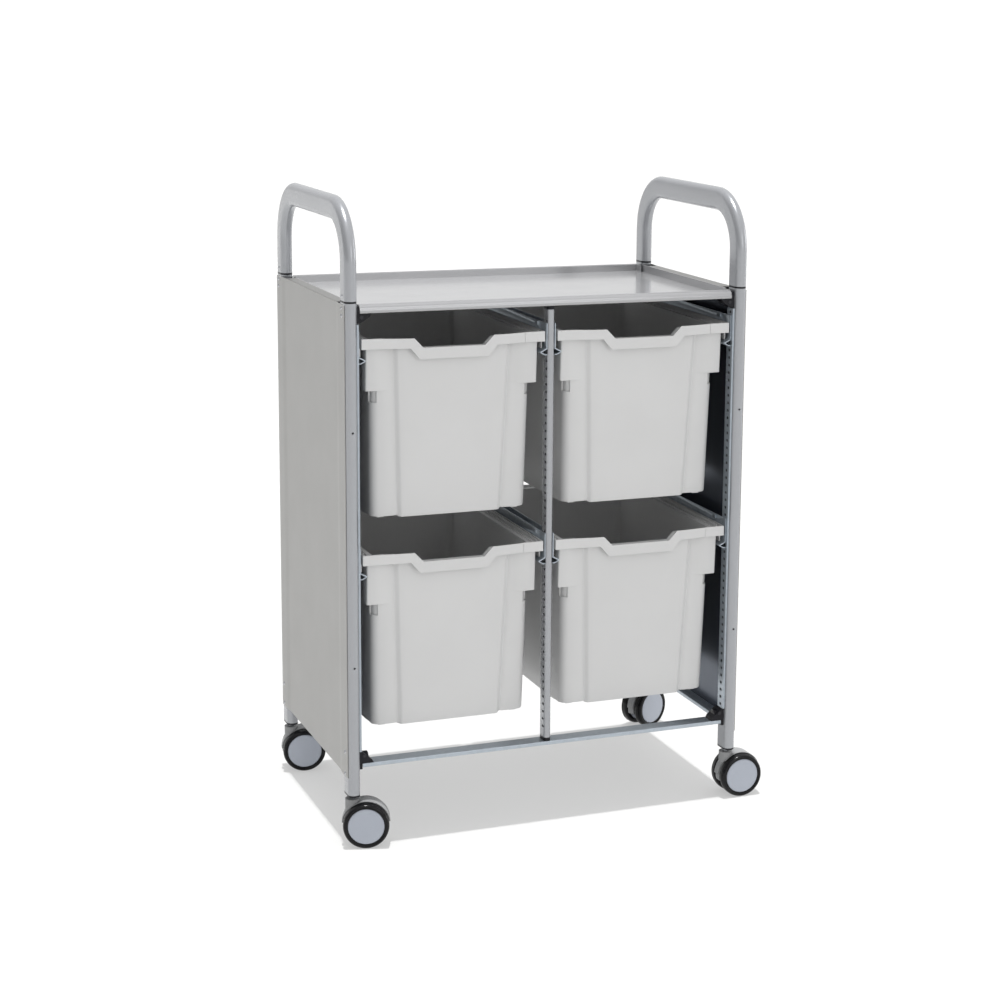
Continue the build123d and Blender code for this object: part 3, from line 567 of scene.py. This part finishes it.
def tray_ring(share, inset=0.0, kind="tub", relief=1.0):
    """The (x, y) points of one outline; kind is tub, ear, pocket or rim."""
    groove = blend(*GROOVE, share)
    if kind == "rim":
        half, front, back, corner = TRAY_HALF, TRAY_FRONT, TRAY_BACK, 3.5
    else:
        half, front, back = (blend(*size, share) for size in (TUB_HALF, TUB_FRONT, TUB_BACK))
        corner = 14.0
    half_front, front_corner = half, corner
    if kind == "ear":
        half_front, front_corner = EAR_HALF, 2.5
    if kind == "pocket":
        half_front, front_corner = half - 9.0, 1.5
    half, front, back, half_front = half - inset, front - inset, back - inset, half_front - inset
    corner, front_corner = max(corner - inset, 1.2), max(front_corner - inset, 1.2)
    flat = half_front - front_corner
    steps = [15, 30, 45, 49, 51.5, 54, 57.5, 60, 63, 66.5, 69, 72.5, 76]
    steps += [groove + across for across in (-1.5, 0.5, 3, 5, 6.5, 8, 11)]
    proud = [3.5] * 13 + [3.5, 3.0, 0.6, -1.2, -1.6, -1.0, 0.2]
    for part in (0.25, 0.5, 0.75, 1.0):
        x = blend(groove + 11, flat, part)
        steps.append(x)
        ear_lift = 4.0 * smooth((x - 104.0) / 20.0) if kind == "ear" else 0.0
        proud.append(0.2 + 0.8 * math.sin(math.pi * part) + ear_lift)
    right = [(x, -front - p * relief) for x, p in zip(steps, proud)]
    points = [(-x, y) for x, y in reversed(right)] + [(0.0, -front - 3.5 * relief)] + right
    corner_y = right[-1][1] + front_corner
    turns = [math.radians(90 * i / 7) for i in range(1, 8)]
    points += [
        (flat + front_corner * math.sin(t), corner_y - front_corner * math.cos(t)) for t in turns
    ]
    side = [corner_y + 2.0, corner_y + 4.0]
    if kind == "rim":
        side = [-SKIRT_START - 0.2, -SKIRT_START + 0.2]
    if kind in ("ear", "pocket"):
        depth = EAR_DEPTH if kind == "ear" else POCKET_DEPTH
        side = [-front - 4.0 + depth - 0.2, -front - 4.0 + depth + 0.2]
    right_side = [(half_front, side[0]), (half, side[1])]
    for part in (0.1, 0.3, 0.5, 0.7, 0.9, 1.0):
        right_side.append((half, blend(side[1], back - corner, part)))
    points += right_side
    points += [
        (half - corner + corner * math.cos(t), back - corner + corner * math.sin(t)) for t in turns
    ]
    width = half - corner
    points += [(blend(width, -width, part), back) for part in (0.25, 0.5, 0.75, 1.0)]
    points += [
        (-half + corner - corner * math.sin(t), back - corner + corner * math.cos(t))
        for t in turns
    ]
    points += [(-x, y) for x, y in reversed(right_side[:-1])]
    points += [
        (-flat - front_corner * math.cos(t), corner_y - front_corner * math.sin(t))
        for t in [0.0] + turns[:-1]
    ]
    return points


kinds = ("tub", "ear", "pocket", "rim")
print("points in a ring:", {kind: len(tray_ring(0.5, kind=kind)) for kind in kinds})

# %% The stack of rings, from the outside floor to the inside floor


def tray_stack(height):
    """A list of (points, height rule) for a tray of this height."""
    flange = height - FLANGE_DROP
    share = lambda z: min(max(z / flange, 0.0), 1.0)
    low_lift = lambda x, y: 2.5 * smooth((abs(x) - 84.0) / 4.0) if y < -150.0 else 0.0
    foot = lambda z: (lambda x, y: z + low_lift(x, y) * (1 - z / 30.0))
    under = lambda x, y: min(flange - 2.5, height - 2.5 - dip(x, y, DIP_TOP) - rim_slope(x, y))
    rim_low = lambda x, y: height - (
        SKIRT_DROP if y > -SKIRT_START else RIM + dip(x, y, DIP_UNDER) + rim_slope(x, y)
    )
    rim_top = lambda x, y: height - dip(x, y, DIP_TOP) - rim_slope(x, y)
    deck = lambda x, y: min(flange, rim_top(x, y) - 0.01)
    flat = lambda z: (lambda x, y: z)
    stack = [
        (tray_ring(0.0, 3.0), foot(0.0)),
        (tray_ring(0.0, 0.9), foot(0.6)),
        (tray_ring(0.0, 0.0), foot(3.0)),
        (tray_ring(share(30.0)), flat(30.0)),
        (tray_ring(share(110.0)), flat(110.0)),
    ]
    ear = height - EAR_DROP
    pocket = ear - POCKET
    stack += [
        (tray_ring(share(pocket)), flat(pocket)),
        (tray_ring(share(pocket), kind="pocket"), flat(pocket)),
        (tray_ring(share(ear), kind="pocket"), flat(ear)),
        (tray_ring(share(ear), kind="ear"), flat(ear)),
        (tray_ring(share(height - 45.0), kind="ear"), flat(height - 45.0)),
        (tray_ring(0.99, kind="ear"), under),
    ]
    stack += [
        (tray_ring(1.0, 2.0, "rim", 0.0), under),
        (tray_ring(1.0, 2.0, "rim", 0.0), rim_low),
        (tray_ring(1.0, 0.0, "rim", 0.0), rim_low),
        (tray_ring(1.0, 0.0, "rim", 0.0), rim_top),
        (tray_ring(1.0, 2.0, "rim", 0.0), rim_top),
        (tray_ring(1.0, 2.0, "rim", 0.0), deck),
        (tray_ring(1.0, TUB_WALL, relief=0.8), deck),
        (tray_ring(share(110.0), TUB_WALL, relief=0.8), flat(110.0)),
        (tray_ring(share(NEST_TOP), TUB_WALL, relief=0.8), flat(NEST_TOP + 2.0)),
        (tray_ring(share(NEST_TOP), TUB_WALL + NEST_INSET, relief=0.5), flat(NEST_TOP)),
        (tray_ring(0.0, TUB_WALL + NEST_INSET, relief=0.5), flat(TUB_FLOOR + 3.0)),
        (tray_ring(0.0, TUB_WALL + NEST_INSET + 3.0, relief=0.5), flat(TUB_FLOOR)),
    ]
    return stack


def build_tray_shape(node_name):
    """The tray's mesh in its place, with ridges and blocks on its rim."""
    low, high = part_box(node_name)
    middle = (low.x + high.x) / 2 / MM
    bottom, height = low.z / MM, (high.z - low.z) / MM
    shape = bmesh.new()
    rings = []
    for points, rule in tray_stack(height):
        places = [((middle + x) * MM, y * MM, (bottom + rule(x, y)) * MM) for x, y in points]
        rings.append([shape.verts.new(place) for place in places])
    count = len(rings[0])
    for below, above in zip(rings, rings[1:]):
        for i in range(count):
            j = (i + 1) % count
            shape.faces.new((below[i], below[j], above[j], above[i]))
    shape.faces.new(list(reversed(rings[0])))
    shape.faces.new(rings[-1])
    bmesh.ops.remove_doubles(shape, verts=shape.verts, dist=1e-6)
    top = bottom + height
    for hand in (-1, 1):
        for inward, rise in ((6.0, FLANGE_DROP - 0.4), (12.5, 2.2)):
            edge = middle + hand * (TRAY_HALF - inward)
            add_block(
                shape,
                ((edge - 0.8) * MM, -188 * MM, (top - FLANGE_DROP - 0.5) * MM),
                ((edge + 0.8) * MM, 203 * MM, (top - FLANGE_DROP + rise) * MM),
            )
        ends = sorted((middle + hand * 119.4, middle + hand * 152.8))
        add_block(
            shape,
            (ends[0] * MM, (-TRAY_FRONT - 0.9) * MM, (top - RIM - 0.6) * MM),
            (ends[1] * MM, (-TRAY_FRONT + 3.0) * MM, (top - 0.25) * MM),
        )
        pad = sorted((middle + hand * 108.0, middle + hand * 119.0))
        add_block(
            shape,
            (pad[0] * MM, -170 * MM, (bottom + 0.1) * MM),
            (pad[1] * MM, -164 * MM, (bottom + 4) * MM),
        )
    return shape


# %% Make the four trays
for name in sorted(nodes):
    if name.startswith("tray_"):
        moulding = to_mesh(build_tray_shape(name), name)
        tray = finish_piece(name + "_moulding", moulding, name, 30.0, 0.55, 2)
        print(tray.name, len(tray.data.polygons), "faces")

# %% [markdown]
# **Wheels.** A castor wheel is turned: its section goes once round the axle. The
# tread has a bead and a groove at its outer edge, and the hub is a slightly
# domed disc set into it. Turning a closed section keeps both watertight. The
# joints give the axle's place and direction, so each wheel sits in its castor.

# %% Turned shapes
joints = {joint["name"]: joint for joint in frame["joints"]}
ROUND_STEPS = 96


def turned(section, centre, axis, closed_ring, steps=ROUND_STEPS):
    """Turn (radius, offset) points in millimetres round an axis."""
    axis = Vector(axis).normalized()
    across = axis.orthogonal().normalized()
    upward = axis.cross(across)
    shape = bmesh.new()
    rings = []
    for radius, offset in section:
        base = centre + axis * offset * MM
        if radius == 0.0:
            rings.append([shape.verts.new(base)] * steps)
            continue
        angles = [2 * math.pi * i / steps for i in range(steps)]
        rings.append(
            [
                shape.verts.new(base + (across * math.cos(a) + upward * math.sin(a)) * radius * MM)
                for a in angles
            ]
        )
    pairs = list(zip(rings, rings[1:]))
    if closed_ring:
        pairs.append((rings[-1], rings[0]))
    for first, second in pairs:
        for i in range(steps):
            j = (i + 1) % steps
            corners = list(dict.fromkeys((first[i], first[j], second[j], second[i])))
            if len(corners) > 2:
                shape.faces.new(corners)
    bmesh.ops.recalc_face_normals(shape, faces=shape.faces[:])
    return shape


# %% Tyres and hubs
TYRE_SECTION = [
    (29.9, 1.2), (33.4, 0.9), (35.6, 1.6), (36.9, 3.2), (37.5, 5.6), (37.5, 11.6), (37.1, 12.5),
    (35.9, 13.0), (35.9, 13.8), (36.9, 14.3), (36.9, 15.0), (36.2, 16.5), (35.0, 17.5), (33.8, 17.9),
    (32.9, 17.7), (32.3, 16.9), (31.7, 16.6), (31.0, 16.9), (30.4, 16.9), (29.9, 16.3),
]
HUB_SECTION = [
    (0.0, 17.3), (9.0, 17.25), (18.0, 17.1), (25.0, 16.9), (28.0, 16.7), (29.0, 16.35), (29.6, 15.6),
    (29.6, 3.0), (28.0, 1.0), (14.0, 1.0), (13.0, 0.2), (4.2, 0.2), (4.2, 8.0), (0.0, 8.0),
]
WHEEL_INSIDE = 7.0
for place in ("front_left", "front_right", "rear_left", "rear_right"):
    for wheel in ("outer", "inner"):
        joint = joints[f"wheel_{place}_{wheel}_roll"]
        axis = Vector(joint["axis"]) * (1 if wheel == "outer" else -1)
        centre = Vector(joint["pos_m"]) + axis * WHEEL_INSIDE * MM
        tyre_name, hub_name = f"tyre_{place}_{wheel}", f"hub_{place}_{wheel}"
        tyre = to_mesh(turned(TYRE_SECTION, centre, axis, True), tyre_name)
        finish_piece(tyre_name + "_tread", tyre, tyre_name, 28.0)
        hub = to_mesh(turned(HUB_SECTION, centre, axis, False), hub_name)
        finish_piece(hub_name + "_disc", hub, hub_name, 28.0)

# %% [markdown]
# ** Side panels.** A panel is folded from one sheet: it laps over both posts, steps in by a soft ramp, and is flat between. The fold is drawn as a section seen from above and run up the panel's height. The inner faces get a second material, a near-black glossy metal. Its dark colour is painted shade for the dark gap between the panels and the trays.

# %% Panel sections
PANEL_SHEET, PANEL_STEP, RAMP = 1.2, 2.0, 22.0


def panel_mesh(node_name, hand):
    """The folded panel in its place, with the ramp eased at both ends."""
    low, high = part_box(node_name)
    face = (high.x if hand > 0 else -low.x) / MM
    lap, ramp_end = high.y / MM, 177.0
    ys = [-lap, -lap + 0.6, -ramp_end]
    ys += [-ramp_end + RAMP * i / 10 for i in range(1, 10)] + [-ramp_end + RAMP]
    ys += [-y for y in reversed(ys)]
    set_in = lambda y: PANEL_STEP * smooth((ramp_end - abs(y)) / RAMP)
    outer = [(hand * (face - set_in(y) - (0.5 if abs(y) >= lap - 0.01 else 0.0)), y) for y in ys]
    inner = [(hand * (face - set_in(y) - PANEL_SHEET), y) for y in ys]
    shape = bmesh.new()
    outline = [(x * MM, y * MM) for x, y in outer + inner[::-1]]
    add_prism(shape, outline, 2, low.z, high.z)
    flange = (high.x - low.x) / MM
    inner_x = hand * (face - flange)
    reach = sorted((inner_x, hand * (face - PANEL_STEP - 0.6)))
    add_block(
        shape,
        (reach[0] * MM, -154 * MM, high.z - PANEL_SHEET * MM),
        (reach[1] * MM, 154 * MM, high.z),
    )
    mesh = to_mesh(shape, node_name)
    mesh.materials.append(materials["panel_paint"])
    mesh.materials.append(panel_inside_painted_shade)
    # Faces that look inward get the painted-shade material.
    for polygon in mesh.polygons:
        if polygon.normal.x * hand < -0.5:
            polygon.material_index = 1
    return mesh


# %% Make the panels
for hand, name in ((-1, "side_panel_left"), (1, "side_panel_right")):
    panel = finish_piece(name + "_sheet", panel_mesh(name, hand), name, 20.0)
    print(panel.name, [round(v, 4) for v in panel.dimensions])

# %% [markdown]
# **Top shelf.** The shelf is a pan of sheet with a rolled edge front and rear:
# a narrow lip, a fine groove, a sloping band and an upright face. Its section
# across the front is drawn once and run along the shelf.

# %% Shelf section
shelf_low, shelf_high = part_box("top_shelf")
EDGE_SECTION = [
    (0.0, 0.0), (0.0, 12.2), (0.8, 13.4), (2.2, 14.0), (3.6, 13.9), (4.3, 13.2), (4.5, 11.4), (5.5, 11.2),
    (5.9, 12.4), (6.8, 12.6), (9.4, 10.6), (10.3, 9.0), (10.6, 6.9), (11.0, 6.5), (11.7, 6.0), (12.0, 4.8),
    (12.0, 1.6), (11.5, 0.5), (10.4, 0.0),
]
print("shelf, metres:", [round(v, 4) for v in shelf_high - shelf_low])

# %% Make the shelf
shelf_shape = bmesh.new()
edge_out = shelf_high.y / MM
edge_in = edge_out - 12.0
base = shelf_low.z / MM
side_reach = shelf_high.x / MM, shelf_low.x / MM
edge_x = (side_reach[1] + 5.0) * MM, (side_reach[0] - 5.0) * MM
for end in (-1, 1):
    outline = [(end * (edge_in + y) * MM, (base + z) * MM) for y, z in EDGE_SECTION]
    add_prism(shelf_shape, outline, 0, edge_x[0], edge_x[1])
add_block(
    shelf_shape,
    (edge_x[0], -(edge_in + 1) * MM, base * MM),
    (edge_x[1], (edge_in + 1) * MM, (base + 1.2) * MM),
)
for hand in (-1, 1):
    wall = side_reach[0] if hand > 0 else side_reach[1]
    spans = sorted((wall, wall - hand * 1.2))
    add_block(
        shelf_shape,
        (spans[0] * MM, -173 * MM, base * MM),
        (spans[1] * MM, 173 * MM, (base + 14) * MM),
    )
    returns = sorted((wall - hand * 5.2, wall - hand * 4.4))
    for end in (-1, 1):
        reach = sorted((end * 172.0, end * 194.5))
        add_block(
            shelf_shape,
            (returns[0] * MM, reach[0] * MM, base * MM),
            (returns[1] * MM, reach[1] * MM, (base + 13.4) * MM),
        )
    floor_side = sorted((wall, wall - hand * 6.0))
    add_block(
        shelf_shape,
        (floor_side[0] * MM, -173 * MM, base * MM),
        (floor_side[1] * MM, 173 * MM, (base + 1.2) * MM),
    )
finish_piece("top_shelf_pan", to_mesh(shelf_shape, "top_shelf_pan"), "top_shelf", 30.0, 0.25, 2)

# %% [markdown]
# **Hole strips.** The strips beside the posts are punched at one pitch all the
# way up. That is a job for Geometry Nodes: one short length with one hole is
# made in code, a Mesh Line places it as often as needed, and Realize Instances
# and Merge by Distance make it one strip. The count and the pitch are inputs.

# %% One length of strip with its hole
HOLE_PITCH, STRIP_HALF, STRIP_SHEET = 12.85, 10.5, 1.2


def strip_length():
    """A flat length of sheet with one rounded hole, facing -X, open above and below."""
    shape = bmesh.new()
    half = HOLE_PITCH / 2
    rim = [(10.5, -1.4), (10.5, 1.4), (10.5, half), (2.6, half), (-2.6, half), (-10.5, half)]
    rim += [(-10.5, 1.4), (-10.5, -1.4), (-10.5, -half), (-2.6, -half), (2.6, -half), (10.5, -half)]
    hole = [(4.0, -1.4), (4.0, 1.4), (2.6, 2.5), (-2.6, 2.5), (-4.0, 1.4), (-4.0, -1.4), (-2.6, -2.5), (2.6, -2.5)]
    layers = []
    for depth in (0.0, STRIP_SHEET):
        layers.append(
            (
                [shape.verts.new((depth * MM, y * MM, z * MM)) for y, z in rim],
                [shape.verts.new((depth * MM, y * MM, z * MM)) for y, z in hole],
            )
        )
    panes = [
        ((0, 1), (1, 0)), ((1, 2, 3), (2, 1)), ((3, 4), (3, 2)), ((4, 5, 6), (4, 3)),
        ((6, 7), (5, 4)), ((7, 8, 9), (6, 5)), ((9, 10), (7, 6)), ((10, 11, 0), (0, 7)),
    ]
    for number, (edge, bore) in enumerate(layers):
        for outside, inside in panes:
            corners = [edge[i] for i in outside] + [bore[i] for i in inside]
            shape.faces.new(corners if number else corners[::-1])
    (edge_a, bore_a), (edge_b, bore_b) = layers
    for i in range(8):
        j = (i + 1) % 8
        shape.faces.new((bore_a[i], bore_a[j], bore_b[j], bore_b[i]))
    for i, j in ((11, 0), (0, 1), (1, 2), (5, 6), (6, 7), (7, 8)):
        shape.faces.new((edge_a[j], edge_a[i], edge_b[i], edge_b[j]))
    bmesh.ops.recalc_face_normals(shape, faces=shape.faces[:])
    mesh = to_mesh(shape, "strip_length")
    return bpy.data.objects.new("strip_length", mesh)


strip_unit = strip_length()
print("faces in one length:", len(strip_unit.data.polygons))

# %% Geometry Nodes tree that repeats a shape along a line


def repeat_tree(name, finish):
    """A tree with the inputs Shape, Count, Step and Start."""
    tree = bpy.data.node_groups.new(name, "GeometryNodeTree")
    tree.interface.new_socket(name="Shape", in_out="INPUT", socket_type="NodeSocketObject")
    tree.interface.new_socket(name="Count", in_out="INPUT", socket_type="NodeSocketInt")
    tree.interface.new_socket(name="Step", in_out="INPUT", socket_type="NodeSocketVector")
    tree.interface.new_socket(name="Start", in_out="INPUT", socket_type="NodeSocketVector")
    tree.interface.new_socket(name="Geometry", in_out="OUTPUT", socket_type="NodeSocketGeometry")
    entry, leave = tree.nodes.new("NodeGroupInput"), tree.nodes.new("NodeGroupOutput")
    line = tree.nodes.new("GeometryNodeMeshLine")
    unit = tree.nodes.new("GeometryNodeObjectInfo")
    copies = tree.nodes.new("GeometryNodeInstanceOnPoints")
    realize = tree.nodes.new("GeometryNodeRealizeInstances")
    merge = tree.nodes.new("GeometryNodeMergeByDistance")
    paint = tree.nodes.new("GeometryNodeSetMaterial")
    merge.inputs["Distance"].default_value = 5e-6
    paint.inputs["Material"].default_value = finish
    link(tree, entry, "Shape", unit, "Object")
    link(tree, entry, "Count", line, "Count")
    link(tree, entry, "Start", line, "Start Location")
    link(tree, entry, "Step", line, "Offset")
    link(tree, line, "Mesh", copies, "Points")
    link(tree, unit, "Geometry", copies, "Instance")
    link(tree, copies, "Instances", realize, "Geometry")
    link(tree, realize, "Geometry", merge, "Geometry")
    link(tree, merge, "Geometry", paint, "Geometry")
    link(tree, paint, "Geometry", leave, "Geometry")
    return tree


def run_tree(tree, values):
    """Evaluate a tree on an empty mesh and return the plain mesh it makes."""
    host = bpy.data.objects.new("tree_host", bpy.data.meshes.new("tree_host"))
    scene.collection.objects.link(host)
    modifier = host.modifiers.new("repeat", "NODES")
    modifier.node_group = tree
    for item in tree.interface.items_tree:
        if item.in_out == "INPUT" and item.name in values:
            modifier[item.identifier] = values[item.name]
    view = bpy.context.evaluated_depsgraph_get()
    mesh = bpy.data.meshes.new_from_object(host.evaluated_get(view))
    bpy.data.objects.remove(host)
    return mesh


strip_tree = repeat_tree("punched_strip", materials["galvanised"])
screw_tree = repeat_tree("screw_row", materials["bright_steel"])

# %% Make the strips
for hand, name in ((-1, "rack_strips_left"), (1, "rack_strips_right")):
    low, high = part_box(name)
    count = int((high.z - low.z) / (HOLE_PITCH * MM))
    first = low.z + (HOLE_PITCH / 2 + 0.2) * MM
    strips = bmesh.new()
    pitch_step = (0.0, 0.0, HOLE_PITCH * MM)
    mesh = run_tree(strip_tree, {"Shape": strip_unit, "Count": count, "Step": pitch_step})
    for end in (-1, 1):
        part = bmesh.new()
        part.from_mesh(mesh)
        ends = [edge for edge in part.edges if edge.is_boundary]
        bmesh.ops.holes_fill(part, edges=ends, sides=0)
        middle_y = end * (high.y - STRIP_HALF * MM)
        inner_x = low.x if hand > 0 else high.x
        if hand < 0:
            bmesh.ops.scale(part, vec=(-1, 1, 1), verts=part.verts)
        bmesh.ops.translate(part, vec=(inner_x, middle_y, first), verts=part.verts)
        bmesh.ops.recalc_face_normals(part, faces=part.faces[:])
        top = first + (count - 0.5) * HOLE_PITCH * MM
        for side in (-1, 1):
            across = sorted(middle_y + side * edge * MM for edge in (STRIP_HALF, STRIP_HALF - 1.2))
            deep = sorted((inner_x + hand * 1.0 * MM, inner_x + hand * 3.0 * MM))
            foot = first - HOLE_PITCH / 2 * MM
            add_block(part, (deep[0], across[0], foot), (deep[1], across[1], top))
        held = to_mesh(part, "strip")
        strips.from_mesh(held)
        bpy.data.meshes.remove(held)
    strip = finish_piece(name + "_punched", to_mesh(strips, name), name, 30.0)
    print(strip.name, count, "holes a strip")

# %% [markdown]
# **Screws.** Panel and handle screws are low domes with a round recess.
# One head is turned in code, and the same Geometry Nodes tree lays it out.

# %% Screw heads


def screw_head(radius, rise, hand):
    """A domed head on X = 0 that faces along X, with a round recess."""
    section = [(0.0, rise * 0.45), (radius * 0.42, rise * 0.45), (radius * 0.46, rise * 0.98)]
    section += [(radius * 0.66, rise * 0.86), (radius * 0.9, rise * 0.5), (radius, 0.0), (0.0, -0.2)]
    shape = turned(section, Vector((0, 0, 0)), (hand, 0, 0), False, 18)
    return bpy.data.objects.new("screw_head", to_mesh(shape, "screw_head"))


low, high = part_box("panel_screws")
post_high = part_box("post_front_left")[1]
panel_low, panel_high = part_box("side_panel_left")
screw_y = (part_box("post_rear_left")[0].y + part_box("post_rear_left")[1].y) / 2
screw_shape = bmesh.new()
rows = [panel_high.z - 17 * MM, panel_high.z - 5 * MM, panel_low.z + 5 * MM, panel_low.z + 41 * MM]
for hand in (-1, 1):
    face = (high.x if hand > 0 else low.x) - hand * 1.6 * MM
    head = screw_head(3.4, 1.5, hand)
    for end in (-1, 1):
        for base_z, step in ((rows[0], 12.0), (rows[2], 36.0)):
            row = {"Shape": head, "Count": 2, "Step": (0, 0, step * MM)}
            row["Start"] = (face, end * screw_y, base_z)
            screw_shape.from_mesh(run_tree(screw_tree, row))
        above = {"Shape": screw_head(2.9, 1.2, hand), "Count": 1, "Step": (0, 0, 1)}
        above["Start"] = (face - hand * 1.2 * MM, end * screw_y, post_high.z + 11 * MM)
        screw_shape.from_mesh(run_tree(screw_tree, above))
finish_piece("panel_screw_heads", to_mesh(screw_shape, "panel_screw_heads"), "panel_screws", 30.0)

# %% [markdown]
# **Tubes, rails, runners, castor bodies and small parts.** Their shape is right
# in the design, and what a real one adds is an edge radius and even shading.
# Each gets a merged copy, and all but the runners get a small bevel, because flat facets and razor edges are what
# make a model look like a model.

# %% Finish the remaining nodes
EDGE_RADIUS = {
    "handle": 0.2, "post": 0.25, "bottom_rail": 0.35, "bottom_side": 0.35, "centre_post_caps": 0.5,
    "centre_post": 0.2, "joint": 0.3, "bottom_corner": 0.7, "top_corner": 0.6, "castor_housing": 0.7,
    "brake_lever": 0.6, "upper": 0.0, "lower": 0.0, "castor_stems": 0.2, "connector_screws": 0.3,
}
for name in sorted(nodes):
    if nodes[name].hide_render:
        continue
    width = next((v for start, v in EDGE_RADIUS.items() if name.startswith(start)), 0.25)
    softened(name, width)

# %% [markdown]
# **Floor.** A wide pale floor. It glows very faintly, as a lit paper cove does,
# so that it runs into the white behind it without a horizon.

# %% Floor
FLOOR_SIZE = 40.0
floor_mesh = bpy.data.meshes.new("studio_floor")
half = FLOOR_SIZE / 2
floor_mesh.from_pydata(
    [(-half, -half, 0), (half, -half, 0), (half, half, 0), (-half, half, 0)], [], [(0, 1, 2, 3)]
)
floor = bpy.data.objects.new("studio_floor", floor_mesh)
scene.collection.objects.link(floor)
paper = finish_material(
    "white_floor", skin, (0.34, 0.34, 0.335),
    {"Drift": 0.995, "Rough Low": 0.75, "Rough High": 0.85}, 0.0, 0.02, 0.0001,
    Emission_Color=(1.0, 1.0, 1.0, 1.0), Emission_Strength=0.43, Specular_IOR_Level=0.0,
)
floor.data.materials.append(paper)
